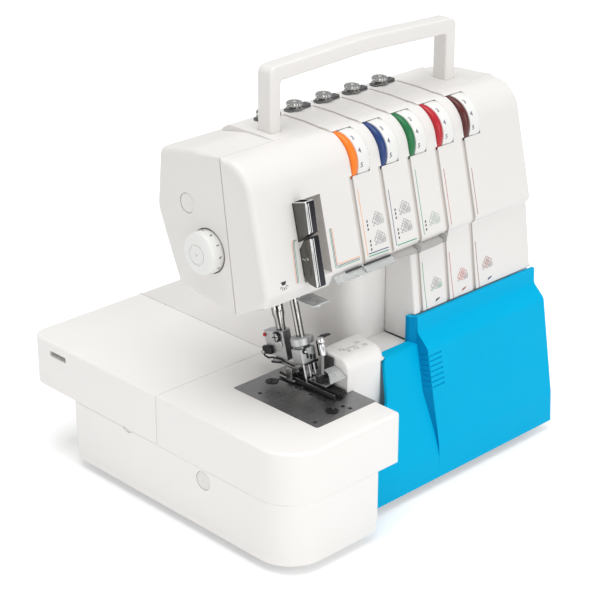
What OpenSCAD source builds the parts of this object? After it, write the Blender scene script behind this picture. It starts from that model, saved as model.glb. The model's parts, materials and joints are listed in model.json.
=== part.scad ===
// Serger overlock machine with a coverstitch table, five tension dials and a
// drop-front looper cover.
// Units are millimetres, +Z is up, the operator sits on the -Y side.
// Every piece is drawn from the left front corner of the bed and then shifted
// so that the origin is the centre of the resting face.

/* [Body] */
// Width of the body without the handwheel
body_w = 337; // [310:1:400]
// Depth of the body from the front of the table to the back
body_d = 313; // [300:1:376]
// Height of the bed surface above the floor
bed_h = 104; // [88:1:125]
// Height of the arm's top above the bed
arm_h = 198; // [198:1:236]
// Height of the rubber feet
foot_h = 8; // [7:0.5:10]
// Thickness of the plastic walls
wall = 2.6; // [2.2:0.1:3.1]

/* [Table] */
// Width of the detachable table, left of the machine bed
table_w = 118.4; // [117:0.2:119.5]
// Depth of the front table, from the operator to the cross seam
front_table_d = 150.4; // [140:0.2:160]
// Height of the table's side wall
slab_h = 43; // [36:1:50]
// Radius of the rounded front left corner
corner_r = 33; // [20:1:40]

/* [Arm] */
// Distance from the table's left edge to the arm's left face
arm_x = 33; // [25:1:40]
// Distance from the table's left edge to the tower's left face
tower_x = 191; // [180:1:196]
// Lean of the needle bar and the presser bar
bar_lean = 15; // [12:1:16]
// Distance of both bars from the table's left edge
bar_x = 98; // [92:1:102]
// Radius of the needle bar
needle_bar_r = 3.3; // [2.8:0.1:3.9]
// Radius of the presser bar
presser_bar_r = 4; // [3.4:0.1:4.8]

/* [Dials] */
// Distance between two tension dials
dial_pitch = 32.2; // [29:0.1:34]
// Distance of the first channel from the table's left edge
channel_x = 134.4; // [130:0.1:140]
// Radius of a tension dial
dial_r = 22; // [19:0.5:22.5]
// Width of a dial's coloured ring
ring_w = 5; // [4:0.5:6]
// Width of a dial's numbered drum
drum_w = 13; // [10:0.5:14]

/* [Looper cover] */
// Height of the looper cover's top edge above the bed
cover_top = 39.5; // [36:0.5:44]
// Radius of the cover's hinge pins
hinge_pin_r = 2; // [1.6:0.1:2.4]

/* [Handwheel] */
// Radius of the handwheel
wheel_r = 36; // [30:1:40]
// Width of the handwheel
wheel_w = 19; // [15:1:24]
// Radius of the main shaft
shaft_r = 6; // [5:0.5:7]

/* [Part] */

/* [Hidden] */

$fn = 64;
eps = 0.01;
gap = 0.3;
run = 0.05;
overall_w = body_w + gap + wheel_w;
slab_z = bed_h - slab_h;
pan_t = 4;
pan_z = foot_h + pan_t;
plate_x = 52.8;
table_r = 117;
plate_y = [25.2, 119.3];
plate_t = 2;
needle_y = 79;
presser_gap = 21.35;
dial_y = 94;
dial_z = arm_h - 23.4;
hinge_y = 34;
hinge_z = foot_h + 7;
wheel_y = 150;
wheel_z = bed_h - 26;
motor_y = 240;
motor_z = 52;
dial_colours = ["#F08A1E", "#1F4FA0", "#0F7F45", "#C8232C", "#6E2A24"];
shell_white = "#F1F1EF";
inner_white = "#E6E6E3";
cover_blue = "#1CA6DB";
steel = "#B9BCC0";
dark = "#1F2022";

// ---- helpers -------------------------------------------------------------

module placed() translate([-overall_w / 2, -body_d / 2, 0]) children();

// A shape in (y, z) stretched along X.
module along_x(x0, x1)
  translate([x0, 0, 0]) rotate([90, 0, 90]) linear_extrude(x1 - x0) children();

// A shape in (x, z) stretched along Y.
module along_y(y0, y1)
  translate([0, y1, 0]) rotate([90, 0, 0]) linear_extrude(y1 - y0) children();

module box(low, high) translate(low) cube(high - low);

module rod_x(x0, x1, y, z, r) along_x(x0, x1) translate([y, z]) circle(r);

function unit(v) = v / norm(v);

// Arc that rounds the corner b between a and c; each point is [x, y, radius].
function corner(a, b, c, n = 8) =
  let (p = [b.x, b.y], u = unit([a.x, a.y] - p), v = unit([c.x, c.y] - p), r = b.z)
  r <= 0 ? [p] :
  let (half = acos(u * v) / 2, mid = p + unit(u + v) * r / sin(half),
    s = p + u * r / tan(half) - mid, e = p + v * r / tan(half) - mid,
    a0 = atan2(s.y, s.x), turn = atan2(e.y, e.x) - a0,
    sweep = turn > 180 ? turn - 360 : turn < -180 ? turn + 360 : turn)
  [for (i = [0 : n]) mid + r * [cos(a0 + sweep * i / n), sin(a0 + sweep * i / n)]];

function rounded(p) =
  let (n = len(p))
  [for (i = [0 : n - 1]) each corner(p[(i + n - 1) % n], p[i], p[(i + 1) % n])];

module outline(p) polygon(rounded(p));

function side(p, i) =
  let (a = p[max(i - 1, 0)], b = p[min(i + 1, len(p) - 1)], d = unit(b - a))
  [-d.y, d.x];

// Strip around an open line, from distance a on its left to distance b.
function strip(p, a, b) = concat(
  [for (i = [0 : len(p) - 1]) p[i] + side(p, i) * a],
  [for (i = [len(p) - 1 : -1 : 0]) p[i] + side(p, i) * b]);

// Frame of the leaning bars: origin at the needle's drop point, Z along the bar.
module leaning() translate([bar_x, needle_y, bed_h]) rotate([-bar_lean, 0, 0]) children();

// ---- profiles in (y, height above the bed) ---------------------------------

front_skin = [[57.3, 100, 3], [80.4, arm_h, 28], [108, arm_h, 0.4], [92.3, 77, 0.4]];
chin_skin = [[57.5, 101, 2], [80.4, arm_h, 28], [108, arm_h, 0.4], [92.3, 77, 0.4],
  [62.5, 90.6, 0.8]];
front_void = [[60.6, 102.2, 2], [82.8, arm_h - wall, 25], [116, arm_h - wall, 0], [97, 77, 0]];
tower_skin = [[60, 103, 0], [61.6, 96.4, 1], [54.2, cover_top + 1, 0.4], [58.4, cover_top + 0.6, 0.4],
  [58.4, 16, 0.6], [89.7, 16, 0], [89.7, 66, 0], [92.2, 77, 0], [95, 103, 0]];
tower_void = [[64, 112, 0], [65, 96, 0], [61.2, 46, 0], [61.2, 12, 0], [110, 12, 0], [110, 112, 0]];
rear_skin = [[108.3, arm_h, 0.4], [140, arm_h - 0.5, 60], [177, arm_h - 8, 8],
  [182, 141, 20], [171, 114, 10], [157, 82, 8], [133, 79.5, 6], [92.6, 77, 0.4]];
rear_void = [[99, arm_h - wall, 0], [140, arm_h - wall - 0.5, 60], [174.5, arm_h - 10, 6],
  [179.3, 141, 18], [168.6, 115, 8], [155, 84.6, 6], [133, 82.1, 5], [88, 79.7, 0]];
channel_line = [[57.2, 99], [61.6, 118], [73.2, 167.4]];
tower_channel = [[54.8, cover_top + 0.5], [61.3, 95.8], [58.2, 100.4], [58.9, 103]];
top_channel = [[88, arm_h - 1.5], [91, arm_h - 0.6], [95, arm_h], [109.9, arm_h]];

module raised(z = bed_h) translate([0, 0, z]) children();

// ---- base ------------------------------------------------------------------

pan_outline = [[3, 3, corner_r - 3], [92, 3, 2], [92, 43, 1], [body_w - 3, 43, 2],
  [body_w - 3, body_d - 3, 10], [121.5, body_d - 3, 2], [121.5, 262, 1], [3, 262, 12]];
feet = [[36, 36], [36, 238], [150, 290], [body_w - 32, 285], [body_w - 32, 62]];

module base_pan() placed() color(inner_white) {
  difference() {
    translate([0, 0, foot_h]) linear_extrude(pan_t) outline(pan_outline);
    for (f = feet)
      translate([f.x, f.y, foot_h - 1]) cylinder(r = 4 + run, h = pan_t + 2);
    for (i = [0 : 7])
      box([180 + i * 9, 160, foot_h - 1], [184 + i * 9, 200, pan_z + 1]);
  }
  for (x = [131, body_w - 20])
    difference() {
      union() {
        box([x, hinge_y, foot_h + 2.2], [x + 4, 46, foot_h + 12]);
        rod_x(x, x + 4, hinge_y, hinge_z, 5);
      }
      rod_x(x - 1, x + 5, hinge_y, hinge_z, hinge_pin_r + run);
      box([x - 1, 43 - eps, foot_h - 1], [x + 5, 47, pan_z]);
    }
}

module rubber_feet() placed() color(dark)
  for (f = feet) translate([f.x, f.y, 0]) {
    cylinder(r = 13.5, h = 2);
    translate([0, 0, 2]) cylinder(r = 15, h = foot_h - 2);
    translate([0, 0, foot_h]) cylinder(r = 4, h = pan_t - 0.5);
  }

body_outline = [[0, 0, corner_r], [94.7, 0, 1.2], [94.7, 42.6, 0.5], [92.3, 42.6, 0.3],
  [92.3, 2.7, 0.5], [2.7, 2.7, corner_r - 2.7], [2.7, 262.3, 12.3], [94, 262.3, 0.3],
  [94, 265, 0.5], [0, 265, 15]];
skirt_outline = [[1.2, 1.2, corner_r - 1.2], [93.7, 1.2, 0.6], [93.7, 42.6, 0.3], [92.3, 42.6, 0.3],
  [92.3, 2.7, 0.5], [2.7, 2.7, corner_r - 2.7], [2.7, 262.3, 12.3], [94, 262.3, 0.3],
  [94, 263.8, 0.3], [1.2, 263.8, 14]];
left_caps = [[96, 51, 8], [187, 66, 8]];

module left_body() placed() color(shell_white)
  difference() {
    union() {
      translate([0, 0, foot_h]) linear_extrude(9) outline(skirt_outline);
      translate([0, 0, foot_h + 8]) linear_extrude(slab_z - foot_h - 8) outline(body_outline);
    }
    for (c = left_caps)
      rod_x(-1, 4, c.x, c.y, c.z + gap / 2);
  }

// ---- tables ----------------------------------------------------------------

front_outline = [[0, 0, corner_r], [table_r, 0, 2], [table_r, front_table_d, 0.6],
  [0, front_table_d, 0.6]];
front_inner = [[wall, wall, corner_r - wall], [table_r - wall, wall, 1],
  [table_r - wall, front_table_d - wall, 0.6], [wall, front_table_d - wall, 0.6]];

module front_table() placed() color(shell_white)
  difference() {
    union() {
      translate([0, 0, slab_z]) linear_extrude(slab_h - 3) outline(front_outline);
      translate([0, 0, bed_h - 3 - eps]) linear_extrude(3 + eps)
        outline([[1.2, 1.2, corner_r - 1.2], [table_r, 1.2, 1], [table_r, front_table_d, 0.6],
          [1.2, front_table_d, 0.6]]);
    }
    translate([0, 0, slab_z - 1]) linear_extrude(slab_h - 3 + 1) outline(front_inner);
    // seat and window under the needle plate
    box([plate_x, plate_y[0], bed_h - plate_t], [table_r + 1, plate_y[1], bed_h + 1]);
    box([plate_x + 5, plate_y[0] + 5, bed_h - 6], [table_r - wall - 2, plate_y[1] - 5, bed_h + 1]);
    // right wall is open behind the needle plate's front edge
    box([table_r - wall - 1, 30, slab_z - 1], [table_r + 1, front_table_d - 6, bed_h - 4]);
    for (s = screw_spots)
      translate([s.x, s.y, bed_h - 5]) cylinder(r = 1.9, h = 6);
  }

back_outline = [[0, front_table_d + 0.4, 0.6], [table_w, front_table_d + 0.4, 0.6],
  [table_w, body_d, 1], [0, body_d, 14]];
back_inner = [[wall, front_table_d + 0.4 + wall, 0.6], [table_w - wall, front_table_d + 0.4 + wall, 0.6],
  [table_w - wall, body_d - wall, 0.6], [wall, body_d - wall, 14 - wall]];

module extension_table() placed() color(shell_white)
  difference() {
    union() {
      translate([0, 0, slab_z + gap]) linear_extrude(slab_h - 3 - gap) outline(back_outline);
      translate([0, 0, bed_h - 3 - eps]) linear_extrude(3 + eps)
        outline([[1.2, front_table_d + 0.4, 0.6], [table_w, front_table_d + 0.4, 0.6],
          [table_w, body_d - 1.2, 1], [1.2, body_d - 1.2, 13]]);
    }
    translate([0, 0, slab_z - 1]) linear_extrude(slab_h - 2) outline(back_inner);
    // latch slot in the left wall
    along_x(-1, wall + 1) outline([[265, bed_h - 12.4, 1], [286, bed_h - 12.4, 1],
      [286, bed_h - 7.4, 1], [265, bed_h - 7.4, 1]]);
  }

// ---- machine bed -----------------------------------------------------------

rear_outline = [[118.8, 112, 0.6], [body_w, 112, 0.6], [body_w, body_d, 14], [118.8, body_d, 1]];
rear_inner = [[118.8 + wall, 112 + wall, 0.6], [body_w - wall, 112 + wall, 0.6],
  [body_w - wall, body_d - wall, 14 - wall], [118.8 + wall, body_d - wall, 0.6]];

module rear_housing() placed() color(shell_white)
  difference() {
    translate([0, 0, pan_z]) linear_extrude(bed_h - pan_z) outline(rear_outline);
    translate([0, 0, pan_z - 1]) linear_extrude(bed_h - pan_z - 2) outline(rear_inner);
    // shaft, dial, lever, switch and inlet on the right side
    rod_x(body_w - 4, body_w + 1, wheel_y, wheel_z, shaft_r + 1.5);
    rod_x(body_w - 4, body_w + 1, 222, 78, 6);
    box([body_w - 4, 252, 60], [body_w + 1, 258, 92]);
    box([body_w - 4, 266, 26], [body_w + 1, 281, 48]);
    box([body_w - 4, 230, 24], [body_w + 1, 256, 48]);
    // way for the arm's casting and for the loopers' shaft
    box([196, 118, bed_h - 5], [body_w - 20, 176, bed_h + 1]);
    rod_x(110, 125, wheel_y, wheel_z, shaft_r + 1.5);
    // air slots in the back
    for (i = [0 : 9])
      box([210 + i * 9, body_d - 4, 30], [214 + i * 9, body_d + 1, 62]);
  }

module looper_bay() placed() color(inner_white) {
  difference() {
    box([120.5, 47, pan_z], [body_w - 0.5, 111.7, bed_h - 6]);
    box([120.5 + wall, 46, pan_z + wall], [body_w - wall, 109.4, bed_h]);
    for (x = [131, body_w - 20])
      box([x - 1, 46, pan_z - 1], [x + 5, 47.5, pan_z + 9]);
    // seat of the ruler cover
    box([119, 46, bed_h - 30], [124, 87, bed_h]);
  }
}

hump_top = 27;
hump_right = 152.5;
module ruler_cover() placed() color(shell_white)
  difference() {
    union() {
      raised() along_x(table_r + 0.4, hump_right)
        outline([[50, 15.6, 0.6], [50, hump_top - 2, 9], [79.5, hump_top + 0.5, 1.5], [79.5, 15.4, 0]]);
      raised() along_x(table_r + 0.4, hump_right - 5.2)
        outline([[50.4, -30, 1], [50.4, 20, 0], [79.5, 20, 0], [79.5, -3, 0]]);
      raised() along_x(table_r + 0.4, tower_x - 1)
        outline([[60.4, -30, 1], [60.4, 15.5, 2], [86.6, 15.5, 0.5], [86.6, -3, 0]]);
    }
    raised() along_x(table_r + 0.4 + wall, hump_right - 5.2 - wall)
      outline([[50.4 + wall, -31, 0], [50.4 + wall, hump_top - 4, 7], [79.5 - wall, hump_top - 2, 1],
        [79.5 - wall, -31, 0]]);
    raised() along_x(table_r + 0.4 + wall, tower_x - 1 - wall)
      outline([[63, -31, 0], [63, 13, 1], [84, 13, 1], [84, -31, 0]]);
  }

// ---- needle plate ----------------------------------------------------------

screw_spots = [[82.8, 106.3], [80.6, 37.2]];
plate_holes = [[61.7, 97.6], [93.5, 47.9], [92.5, 37.2], [94, 31.1], [58.4, 33.3]];
needle_slots = [for (i = [-1 : 1]) bar_x + 5.6 * i];
dog_slots = [bar_x - 9.5, bar_x - 2.8, bar_x + 2.8, bar_x + 9.5];

module needle_plate() placed() color(steel)
  difference() {
    translate([0, 0, bed_h - plate_t]) linear_extrude(plate_t)
      outline([[plate_x + 0.2, plate_y[0] + 0.2, 1.2], [table_r, plate_y[0] + 0.2, 0.6],
        [table_r, plate_y[1] - 0.2, 0.6], [plate_x + 0.2, plate_y[1] - 0.2, 1.2]]);
    for (x = needle_slots)
      box([x - 1.6, needle_y - 7.5, bed_h - 4], [x + 1.6, needle_y + 3, bed_h + 1]);
    for (x = dog_slots)
      box([x - 1.2, needle_y + 5, bed_h - 4], [x + 1.2, needle_y + 27, bed_h + 1]);
    for (x = [bar_x - 9.5, bar_x + 9.5])
      box([x - 1.2, needle_y - 27, bed_h - 4], [x + 1.2, needle_y - 9, bed_h + 1]);
    for (h = plate_holes)
      translate([h.x, h.y, bed_h - 4]) cylinder(r = 1.6, h = 5);
    for (s = screw_spots)
      translate([s.x, s.y, bed_h - 4]) {
        cylinder(r = 2.1, h = 5);
        translate([0, 0, 3]) cylinder(r1 = 2.1, r2 = 5.3, h = 1 + eps);
      }
  }

module plate_screws() placed() color("#55585C")
  for (s = screw_spots)
    translate([s.x, s.y, bed_h])
      difference() {
        union() {
          translate([0, 0, -1]) cylinder(r1 = 1.9, r2 = 5.1, h = 1);
          translate([0, 0, -5]) cylinder(r = 1.85, h = 4 + eps);
          cylinder(r = 5.1, h = 0.5);
        }
        rotate([0, 0, 35]) box([-6, -0.6, -0.3], [6, 0.6, 1]);
      }

module feed_dogs() placed() color(steel) {
  for (x = dog_slots)
    box([x - 0.8, needle_y + 7.5, bed_h - 10], [x + 0.8, needle_y + 24.5, bed_h - 0.2]);
  for (x = [bar_x - 9.5, bar_x + 9.5])
    box([x - 0.8, needle_y - 24.5, bed_h - 10], [x + 0.8, needle_y - 11.5, bed_h - 0.2]);
  for (y = [-24.5, 20])
    box([bar_x - 12, needle_y + y, bed_h - 14], [bar_x + 12, needle_y + y + 4.5, bed_h - 10]);
  for (x = [bar_x - 12, bar_x + 9])
    box([x, needle_y - 20, bed_h - 14], [x + 3, needle_y + 20, bed_h - 10]);
}

// ---- looper cover ----------------------------------------------------------

main_skin = [[24, foot_h, 1], [25.4, 35, 20], [39.2, bed_h + 15.5, 8], [50.6, bed_h + 26, 6],
  [51, bed_h + cover_top, 1], [54, bed_h + cover_top, 0.6], [53.6, bed_h + 24.6, 6],
  [42.2, bed_h + 14.2, 8], [28.4, 35, 20], [27, foot_h, 0.6]];
main_solid = [[24, foot_h, 1], [25.4, 35, 20], [39.2, bed_h + 15.5, 8], [50.6, bed_h + 26, 6],
  [51, bed_h + cover_top, 1], [54, bed_h + cover_top, 0.6], [54, bed_h + 14, 0], [30, 35, 0],
  [27, foot_h, 0.6]];
left_skin = [[24, foot_h, 1], [25.2, 28, 20], [50, bed_h + 16, 3], [57.6, bed_h + 18.3, 0.6],
  [57.6, bed_h + 15.6, 0.4], [52.4, bed_h + 13.6, 2], [28.4, 28, 20], [27, foot_h, 0.6]];
left_cut = [[96, 0, 0], [tower_x + 8, 0, 0], [tower_x + 8, bed_h + 30, 0],
  [153, bed_h + 30, 0], [153, bed_h + 14.4, 0.5], [149, bed_h + 14.4, 0.5], [144, bed_h - 18, 8],
  [119.5, bed_h - 38, 6], [117, slab_z - 4, 3], [96, slab_z - 4, 1]];

module looper_cover() placed() color(cover_blue) {
  difference() {
    union() {
      along_x(tower_x + 4, body_w) polygon(rounded(main_skin));
      // step between the raised panel and the left panel
      difference() {
        along_x(tower_x - 8, tower_x + 4 + eps) polygon(rounded(main_solid));
        translate([tower_x + 0.6, 33.1, bed_h - 21]) rotate([0, -3.3, 214.5])
          translate([0, -60, -100]) cube([40, 120, 180]);
        translate([tower_x - 0.8, 39, bed_h + 17]) rotate([0, -4.9, 176.4])
          translate([0, -60, -150]) cube([40, 120, 190]);
      }
      // end of the lip, in front of the tower's left corner
      translate([0, 0, bed_h + 18]) linear_extrude(cover_top - 18)
        polygon([[tower_x - 5, 56], [tower_x - 0.6, 51], [tower_x + 4, 51], [tower_x + 4, 53.8],
          [tower_x - 0.6, 54.4], [tower_x - 0.6, 60], [tower_x - 5, 60]]);
    }
    // finger grips
    for (i = [0 : 6])
      translate([tower_x - 6, 31 + i * 0.72, bed_h - 19 + i * 4.6])
        rotate([-9, 0, 0]) cube([22, 1.3, 1.8]);
  }
  intersection() {
    along_x(96, tower_x + 5) polygon(rounded(left_skin));
    along_y(10, 70) outline(left_cut);
  }
  for (x = [124.6, body_w - 26.4])
    difference() {
      union() {
        rod_x(x, x + 4.5, hinge_y, hinge_z, 4.6);
        box([x, 26.6, hinge_z - 4.6], [x + 4.5, hinge_y, hinge_z + 4.6]);
      }
      rod_x(x - 1, x + 6, hinge_y, hinge_z, hinge_pin_r + run);
    }
}

module hinge_pins() placed() color(steel)
  for (x = [123.6, body_w - 27.4])
    rod_x(x, x + 11, hinge_y, hinge_z, hinge_pin_r);

// ---- arm and tower ---------------------------------------------------------

function channel_at(i) = channel_x + i * dial_pitch;

module dial_spaces()
  for (i = [0 : 4])
    rod_x(channel_at(i) + 1.6, channel_at(i) + 3.2 + ring_w + drum_w, dial_y, dial_z, dial_r + 0.6);

module front_cover() placed() color(shell_white)
  raised() difference() {
    union() {
      difference() {
        union() {
          along_x(arm_x, body_w) outline(front_skin);
          along_x(arm_x, 101.2) outline(chin_skin);
          along_x(tower_x, body_w) outline(tower_skin);
        }
        along_x(arm_x + wall, body_w - wall) outline(front_void);
        along_x(tower_x + wall, body_w - wall) polygon(rounded(tower_void));
        box([tower_x + wall, 66, 70], [body_w - wall, 120, 104]);
      }
      // walls of the recess around the take-up
      intersection() {
        along_x(arm_x, body_w) outline(front_skin);
        along_x(69.7, 102.6) polygon([[50, 101], [80.4, 101], [90.4, arm_h - 33.5], [50, arm_h - 33.5]]);
      }
    }
    dial_spaces();
    // channels between the threading panels
    for (i = [0 : 4])
      along_x(channel_at(i) - 1.6, channel_at(i) + 1.6) {
        polygon(strip(channel_line, 1, -1.8));
        polygon(strip(top_channel, 3, -1.2));
      }
    for (i = [2 : 4])
      along_x(channel_at(i) - 1.6, channel_at(i) + 1.6)
        polygon(strip(tower_channel, 1, -1.6));
    // recess around the chrome take-up
    along_x(71.7, 100.6) polygon([[40, 103], [78, 103], [88, arm_h - 35.5], [40, arm_h - 35.5]]);
  }

rear_plan = [[150, 87, 18], [tower_x - 0.4, 87, 0.5], [tower_x - 0.4, 90.2, 0], [body_w, 90.2, 0],
  [body_w, 182, 10], [150, 182, 18]];
rear_room = [[150 + wall, 87 + wall, 15], [tower_x + 3, 87 + wall, 0], [tower_x + 3, 80, 0],
  [body_w - wall, 80, 0], [body_w - wall, 182 - wall, 8], [150 + wall, 182 - wall, 15]];

knob_y = 121.5;
knob_z = 121;
module rear_shell() placed() color(shell_white)
  raised() difference() {
    union() {
      along_x(arm_x, body_w) outline(rear_skin);
      difference() {
        translate([0, 0, gap]) linear_extrude(arm_h - 60) outline(rear_plan);
        // keep to the arm's own outline at the front seam
        along_x(tower_x - 0.4, body_w + 1)
          polygon([[60, 66], [90.2, 66], [92.6, 77], [108.3, arm_h], [60, arm_h]]);
        along_x(arm_x - 1, tower_x - 0.4 + eps)
          polygon([[50, 104.2], [92.6, 76.7], [108.3, arm_h], [50, arm_h]]);
      }
    }
    along_x(arm_x + wall, body_w - wall) outline(rear_void);
    translate([0, 0, -1]) linear_extrude(arm_h - 54) outline(rear_room);
    // opening under the top cover
    box([top_x[0] - 0.2, 100, arm_h - 12], [top_x[1] + 0.2, 166.2, arm_h + 5]);
    // passages of the two bars
    translate([0, 0, -bed_h]) leaning() {
      translate([0, 0, 60]) cylinder(r = needle_bar_r + 2, h = 40);
      translate([0, presser_gap, 60]) cylinder(r = presser_bar_r + 2, h = 40);
    }
    rod_x(arm_x - 1, arm_x + 4, 145.5, 152.8, 8.15);
    rod_x(arm_x - 1, arm_x + 4, knob_y, knob_z, 7);
    rod_x(arm_x - 1, arm_x + 1.6, knob_y, knob_z, 17.9);
  }

top_x = [88, 308];
top_skin = [[108.3, arm_h, 0.3], [124, arm_h + 1, 20], [159, arm_h + 0.8, 6], [166, arm_h - 3.5, 2],
  [166, arm_h - 6.5, 0], [158, arm_h - 1.8, 6], [124, arm_h - 1.6, 20], [108.3, arm_h - 2.6, 0]];

top_end = [[108.3, arm_h, 0.3], [124, arm_h + 1, 20], [159, arm_h + 0.8, 6], [166, arm_h - 3.5, 2],
  [166, arm_h - 6.5, 0], [150, arm_h - 8, 0], [108.3, arm_h - 5, 0]];

module top_cover() placed() color(shell_white)
  raised() difference() {
    union() {
      along_x(top_x[0], top_x[1]) outline(top_skin);
      for (x = [top_x[0], top_x[1] - 2.4])
        along_x(x, x + 2.4) outline(top_end);
    }
    for (x = handle_x)
      box([x - 0.2, 119.3, arm_h - 9], [x + 11.3, 134.6, arm_h + 9]);
    for (i = [0 : 4]) {
      along_x(channel_at(i) - 1.6, channel_at(i) + 1.6)
        polygon([[107, arm_h - 1.1], [124, arm_h], [148, arm_h - 0.1], [148, arm_h + 9],
          [107, arm_h + 9]]);
      translate([post_x(i), 150, arm_h - 6]) cylinder(r = 2.5 + run, h = 12);
    }
  }

function post_x(i) = channel_at(i) - 14;

module thread_posts() placed() color(steel)
  for (i = [0 : 4])
    translate([post_x(i), 150, bed_h + arm_h + 0.9]) {
      translate([0, 0, -7]) cylinder(r = 2.5, h = 8);
      translate([0, 0, 0.1]) linear_extrude(1.2)
        outline([[-13, -5, 3], [13, -5, 3], [13, 7, 3], [-13, 7, 3]]);
      translate([-4, 0, 1.3]) cylinder(r = 8, h = 1.2);
      translate([-4, 0, 2.5]) cylinder(r = 5, h = 1);
      translate([-4, 0, 3.5]) cylinder(r = 7.4, h = 1.2);
      translate([-4, 0, 4.7]) cylinder(r = 4.4, h = 3);
      translate([8, 0, 1.3]) cylinder(r = 3, h = 2.4);
    }

handle_x = [95.4, 293];
handle_h = 54;
module carry_handle() placed() color(shell_white)
  raised() difference() {
    along_y(119.5, 134.4)
      outline([[handle_x[0], arm_h - 8, 0.5], [handle_x[0], arm_h + handle_h - 2, 6],
        [200, arm_h + handle_h + 2, 400], [handle_x[1] + 11.1, arm_h + handle_h - 2, 6],
        [handle_x[1] + 11.1, arm_h - 8, 0.5], [handle_x[1], arm_h - 8, 0.5],
        [handle_x[1], arm_h + handle_h - 14, 3], [200, arm_h + handle_h - 10.5, 400],
        [handle_x[0] + 11.1, arm_h + handle_h - 14, 3], [handle_x[0] + 11.1, arm_h - 8, 0.5]]);
  }

// ---- tension dials ---------------------------------------------------------

module dial_shaft() placed() color(steel)
  raised() rod_x(channel_x - 3, channel_at(4) + 26, dial_y, dial_z, 4);

module tension_drum(i) placed() color("#F4F4F2")
  raised() difference() {
    union() {
      rod_x(drum_x(i), drum_x(i) + drum_w, dial_y, dial_z, dial_r - 0.8);
      rod_x(drum_x(i) - 1.4, drum_x(i), dial_y, dial_z, 9);
    }
    rod_x(drum_x(i) - 3, drum_x(i) + drum_w + 1, dial_y, dial_z, 4 + run);
    for (a = [0 : 15 : 345])
      along_x(drum_x(i) + drum_w - 2.5, drum_x(i) + drum_w + 1)
        translate([dial_y, dial_z]) rotate(a) translate([dial_r - 0.45, 0]) circle(0.9, $fn = 16);
  }

function drum_x(i) = channel_at(i) + 2.4 + ring_w;

module tension_ring(i) placed() color(dial_colours[i])
  raised() difference() {
    rod_x(channel_at(i) + 2.1, drum_x(i), dial_y, dial_z, dial_r + 0.2);
    rod_x(channel_at(i) + 1, drum_x(i) + 1, dial_y, dial_z, 9.02);
  }

module dial_1() tension_drum(0);
module dial_2() tension_drum(1);
module dial_3() tension_drum(2);
module dial_4() tension_drum(3);
module dial_5() tension_drum(4);
module ring_1() tension_ring(0);
module ring_2() tension_ring(1);
module ring_3() tension_ring(2);
module ring_4() tension_ring(3);
module ring_5() tension_ring(4);

// ---- take-up and thread guides ---------------------------------------------

takeup_x = [72.1, 81.7];
module takeup_guard() placed() color("#D7DADD")
  raised() difference() {
    along_x(takeup_x[0], takeup_x[1])
      polygon([[52.4, 139], [59.2, 166], [72, 162.3], [80, 162.3], [80, 139]]);
    along_x(takeup_x[0] + 1.2, takeup_x[1] - 1.2)
      polygon([[54, 138], [61.6, 168], [71.5, 168], [71.5, 160.8], [82, 160.8], [82, 138]]);
  }

module takeup_lever() placed() color("#D7DADD")
  raised() difference() {
    along_x(takeup_x[0], takeup_x[1])
      polygon([[44.2, 101.6], [51.9, 134.4], [76, 134.4], [76, 112], [59.3, 112], [56.9, 101.6]]);
    along_x(takeup_x[0] + 1.2, takeup_x[1] - 1.2)
      polygon([[45.1, 100], [52.9, 133.2], [78, 133.2], [78, 113.2], [58.3, 113.2], [55.3, 100]]);
  }

module guide_plate() placed() color(steel)
  raised() difference() {
    union() {
      box([79, 56.6, 80.6], [96.4, 75.6, 81.8]);
      box([84, 74.4, 80.6], [92, 75.6, 84.4]);
      translate([88, 64, 78.6]) cylinder(r = 3, h = 2);
    }
    for (x = [82.4, 93])
      translate([x, 61, 79]) cylinder(r = 1.3, h = 5);
  }

module clear_guide() placed() color("#DDE6EA", 0.5)
  raised() for (x = [[101.4, 131], [134, 165]])
    along_x(x[0], x[1])
      polygon([[57.4, 99], [52.8, 94.2], [53.7, 93.3], [61.4, 96.4]]);

module guide_rail() placed() color(steel)
  raised() difference() {
    along_x(166, 228)
      polygon([[60.6, 97.2], [52.6, 94.4], [53, 93.4], [60.8, 95.8]]);
    // fork at the right end
    box([212, 50, 90], [230, 54.6, 100]);
  }

module pressure_knob() placed() color(shell_white)
  raised() difference() {
    union() {
      rod_x(arm_x - 12.4, arm_x - 10.2, knob_y, knob_z, 14.6);
      rod_x(arm_x - 11, arm_x + 0.9, knob_y, knob_z, 17);
      rod_x(arm_x + 0.8, arm_x + 6, knob_y, knob_z, 6.4);
    }
    along_x(arm_x - 13, arm_x - 11.8)
      translate([knob_y, knob_z]) difference() {
        circle(8.2);
        circle(7.5);
      }
  }

module screw_caps() placed() color(shell_white) {
  raised() rod_x(arm_x + 0.4, arm_x + 3.4, 145.5, 152.8, 8.05);
  intersection() {
    for (c = left_caps)
      rod_x(0.4, 3.2, c.x, c.y, c.z);
    box([0, 0, 0], [4, body_d, slab_z - 0.2]);
  }
}

// ---- frame and bars --------------------------------------------------------

module frame_casting() placed() color("#8E9296")
  difference() {
    union() {
      box([130, 118, pan_z], [body_w - 26, 176, pan_z + 5]);
      box([204, 122, pan_z + 5 - eps], [214, 172, bed_h + 150]);
      box([60, 156, bed_h + 118], [body_w - 30, 166, bed_h + 150]);
      box([body_w - 60, 122, pan_z + 5 - eps], [body_w - 50, 172, bed_h + 150]);
      leaning() {
        translate([-14, -10, 101]) cube([28, 58, 6]);
        translate([-14, -10, 138]) cube([28, 52, 8]);
      }
      box([84.5, 150, bed_h + 88], [111.5, 155, bed_h + 119]);
      box([84.5, 150, bed_h + 118], [111.5, 157, bed_h + 149]);
    }
    leaning() {
      translate([0, 0, 95]) cylinder(r = needle_bar_r + run, h = 55);
      translate([0, presser_gap, 95]) cylinder(r = presser_bar_r + run, h = 55);
    }
    rod_x(120, body_w, wheel_y, wheel_z, shaft_r + run);
  }

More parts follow.
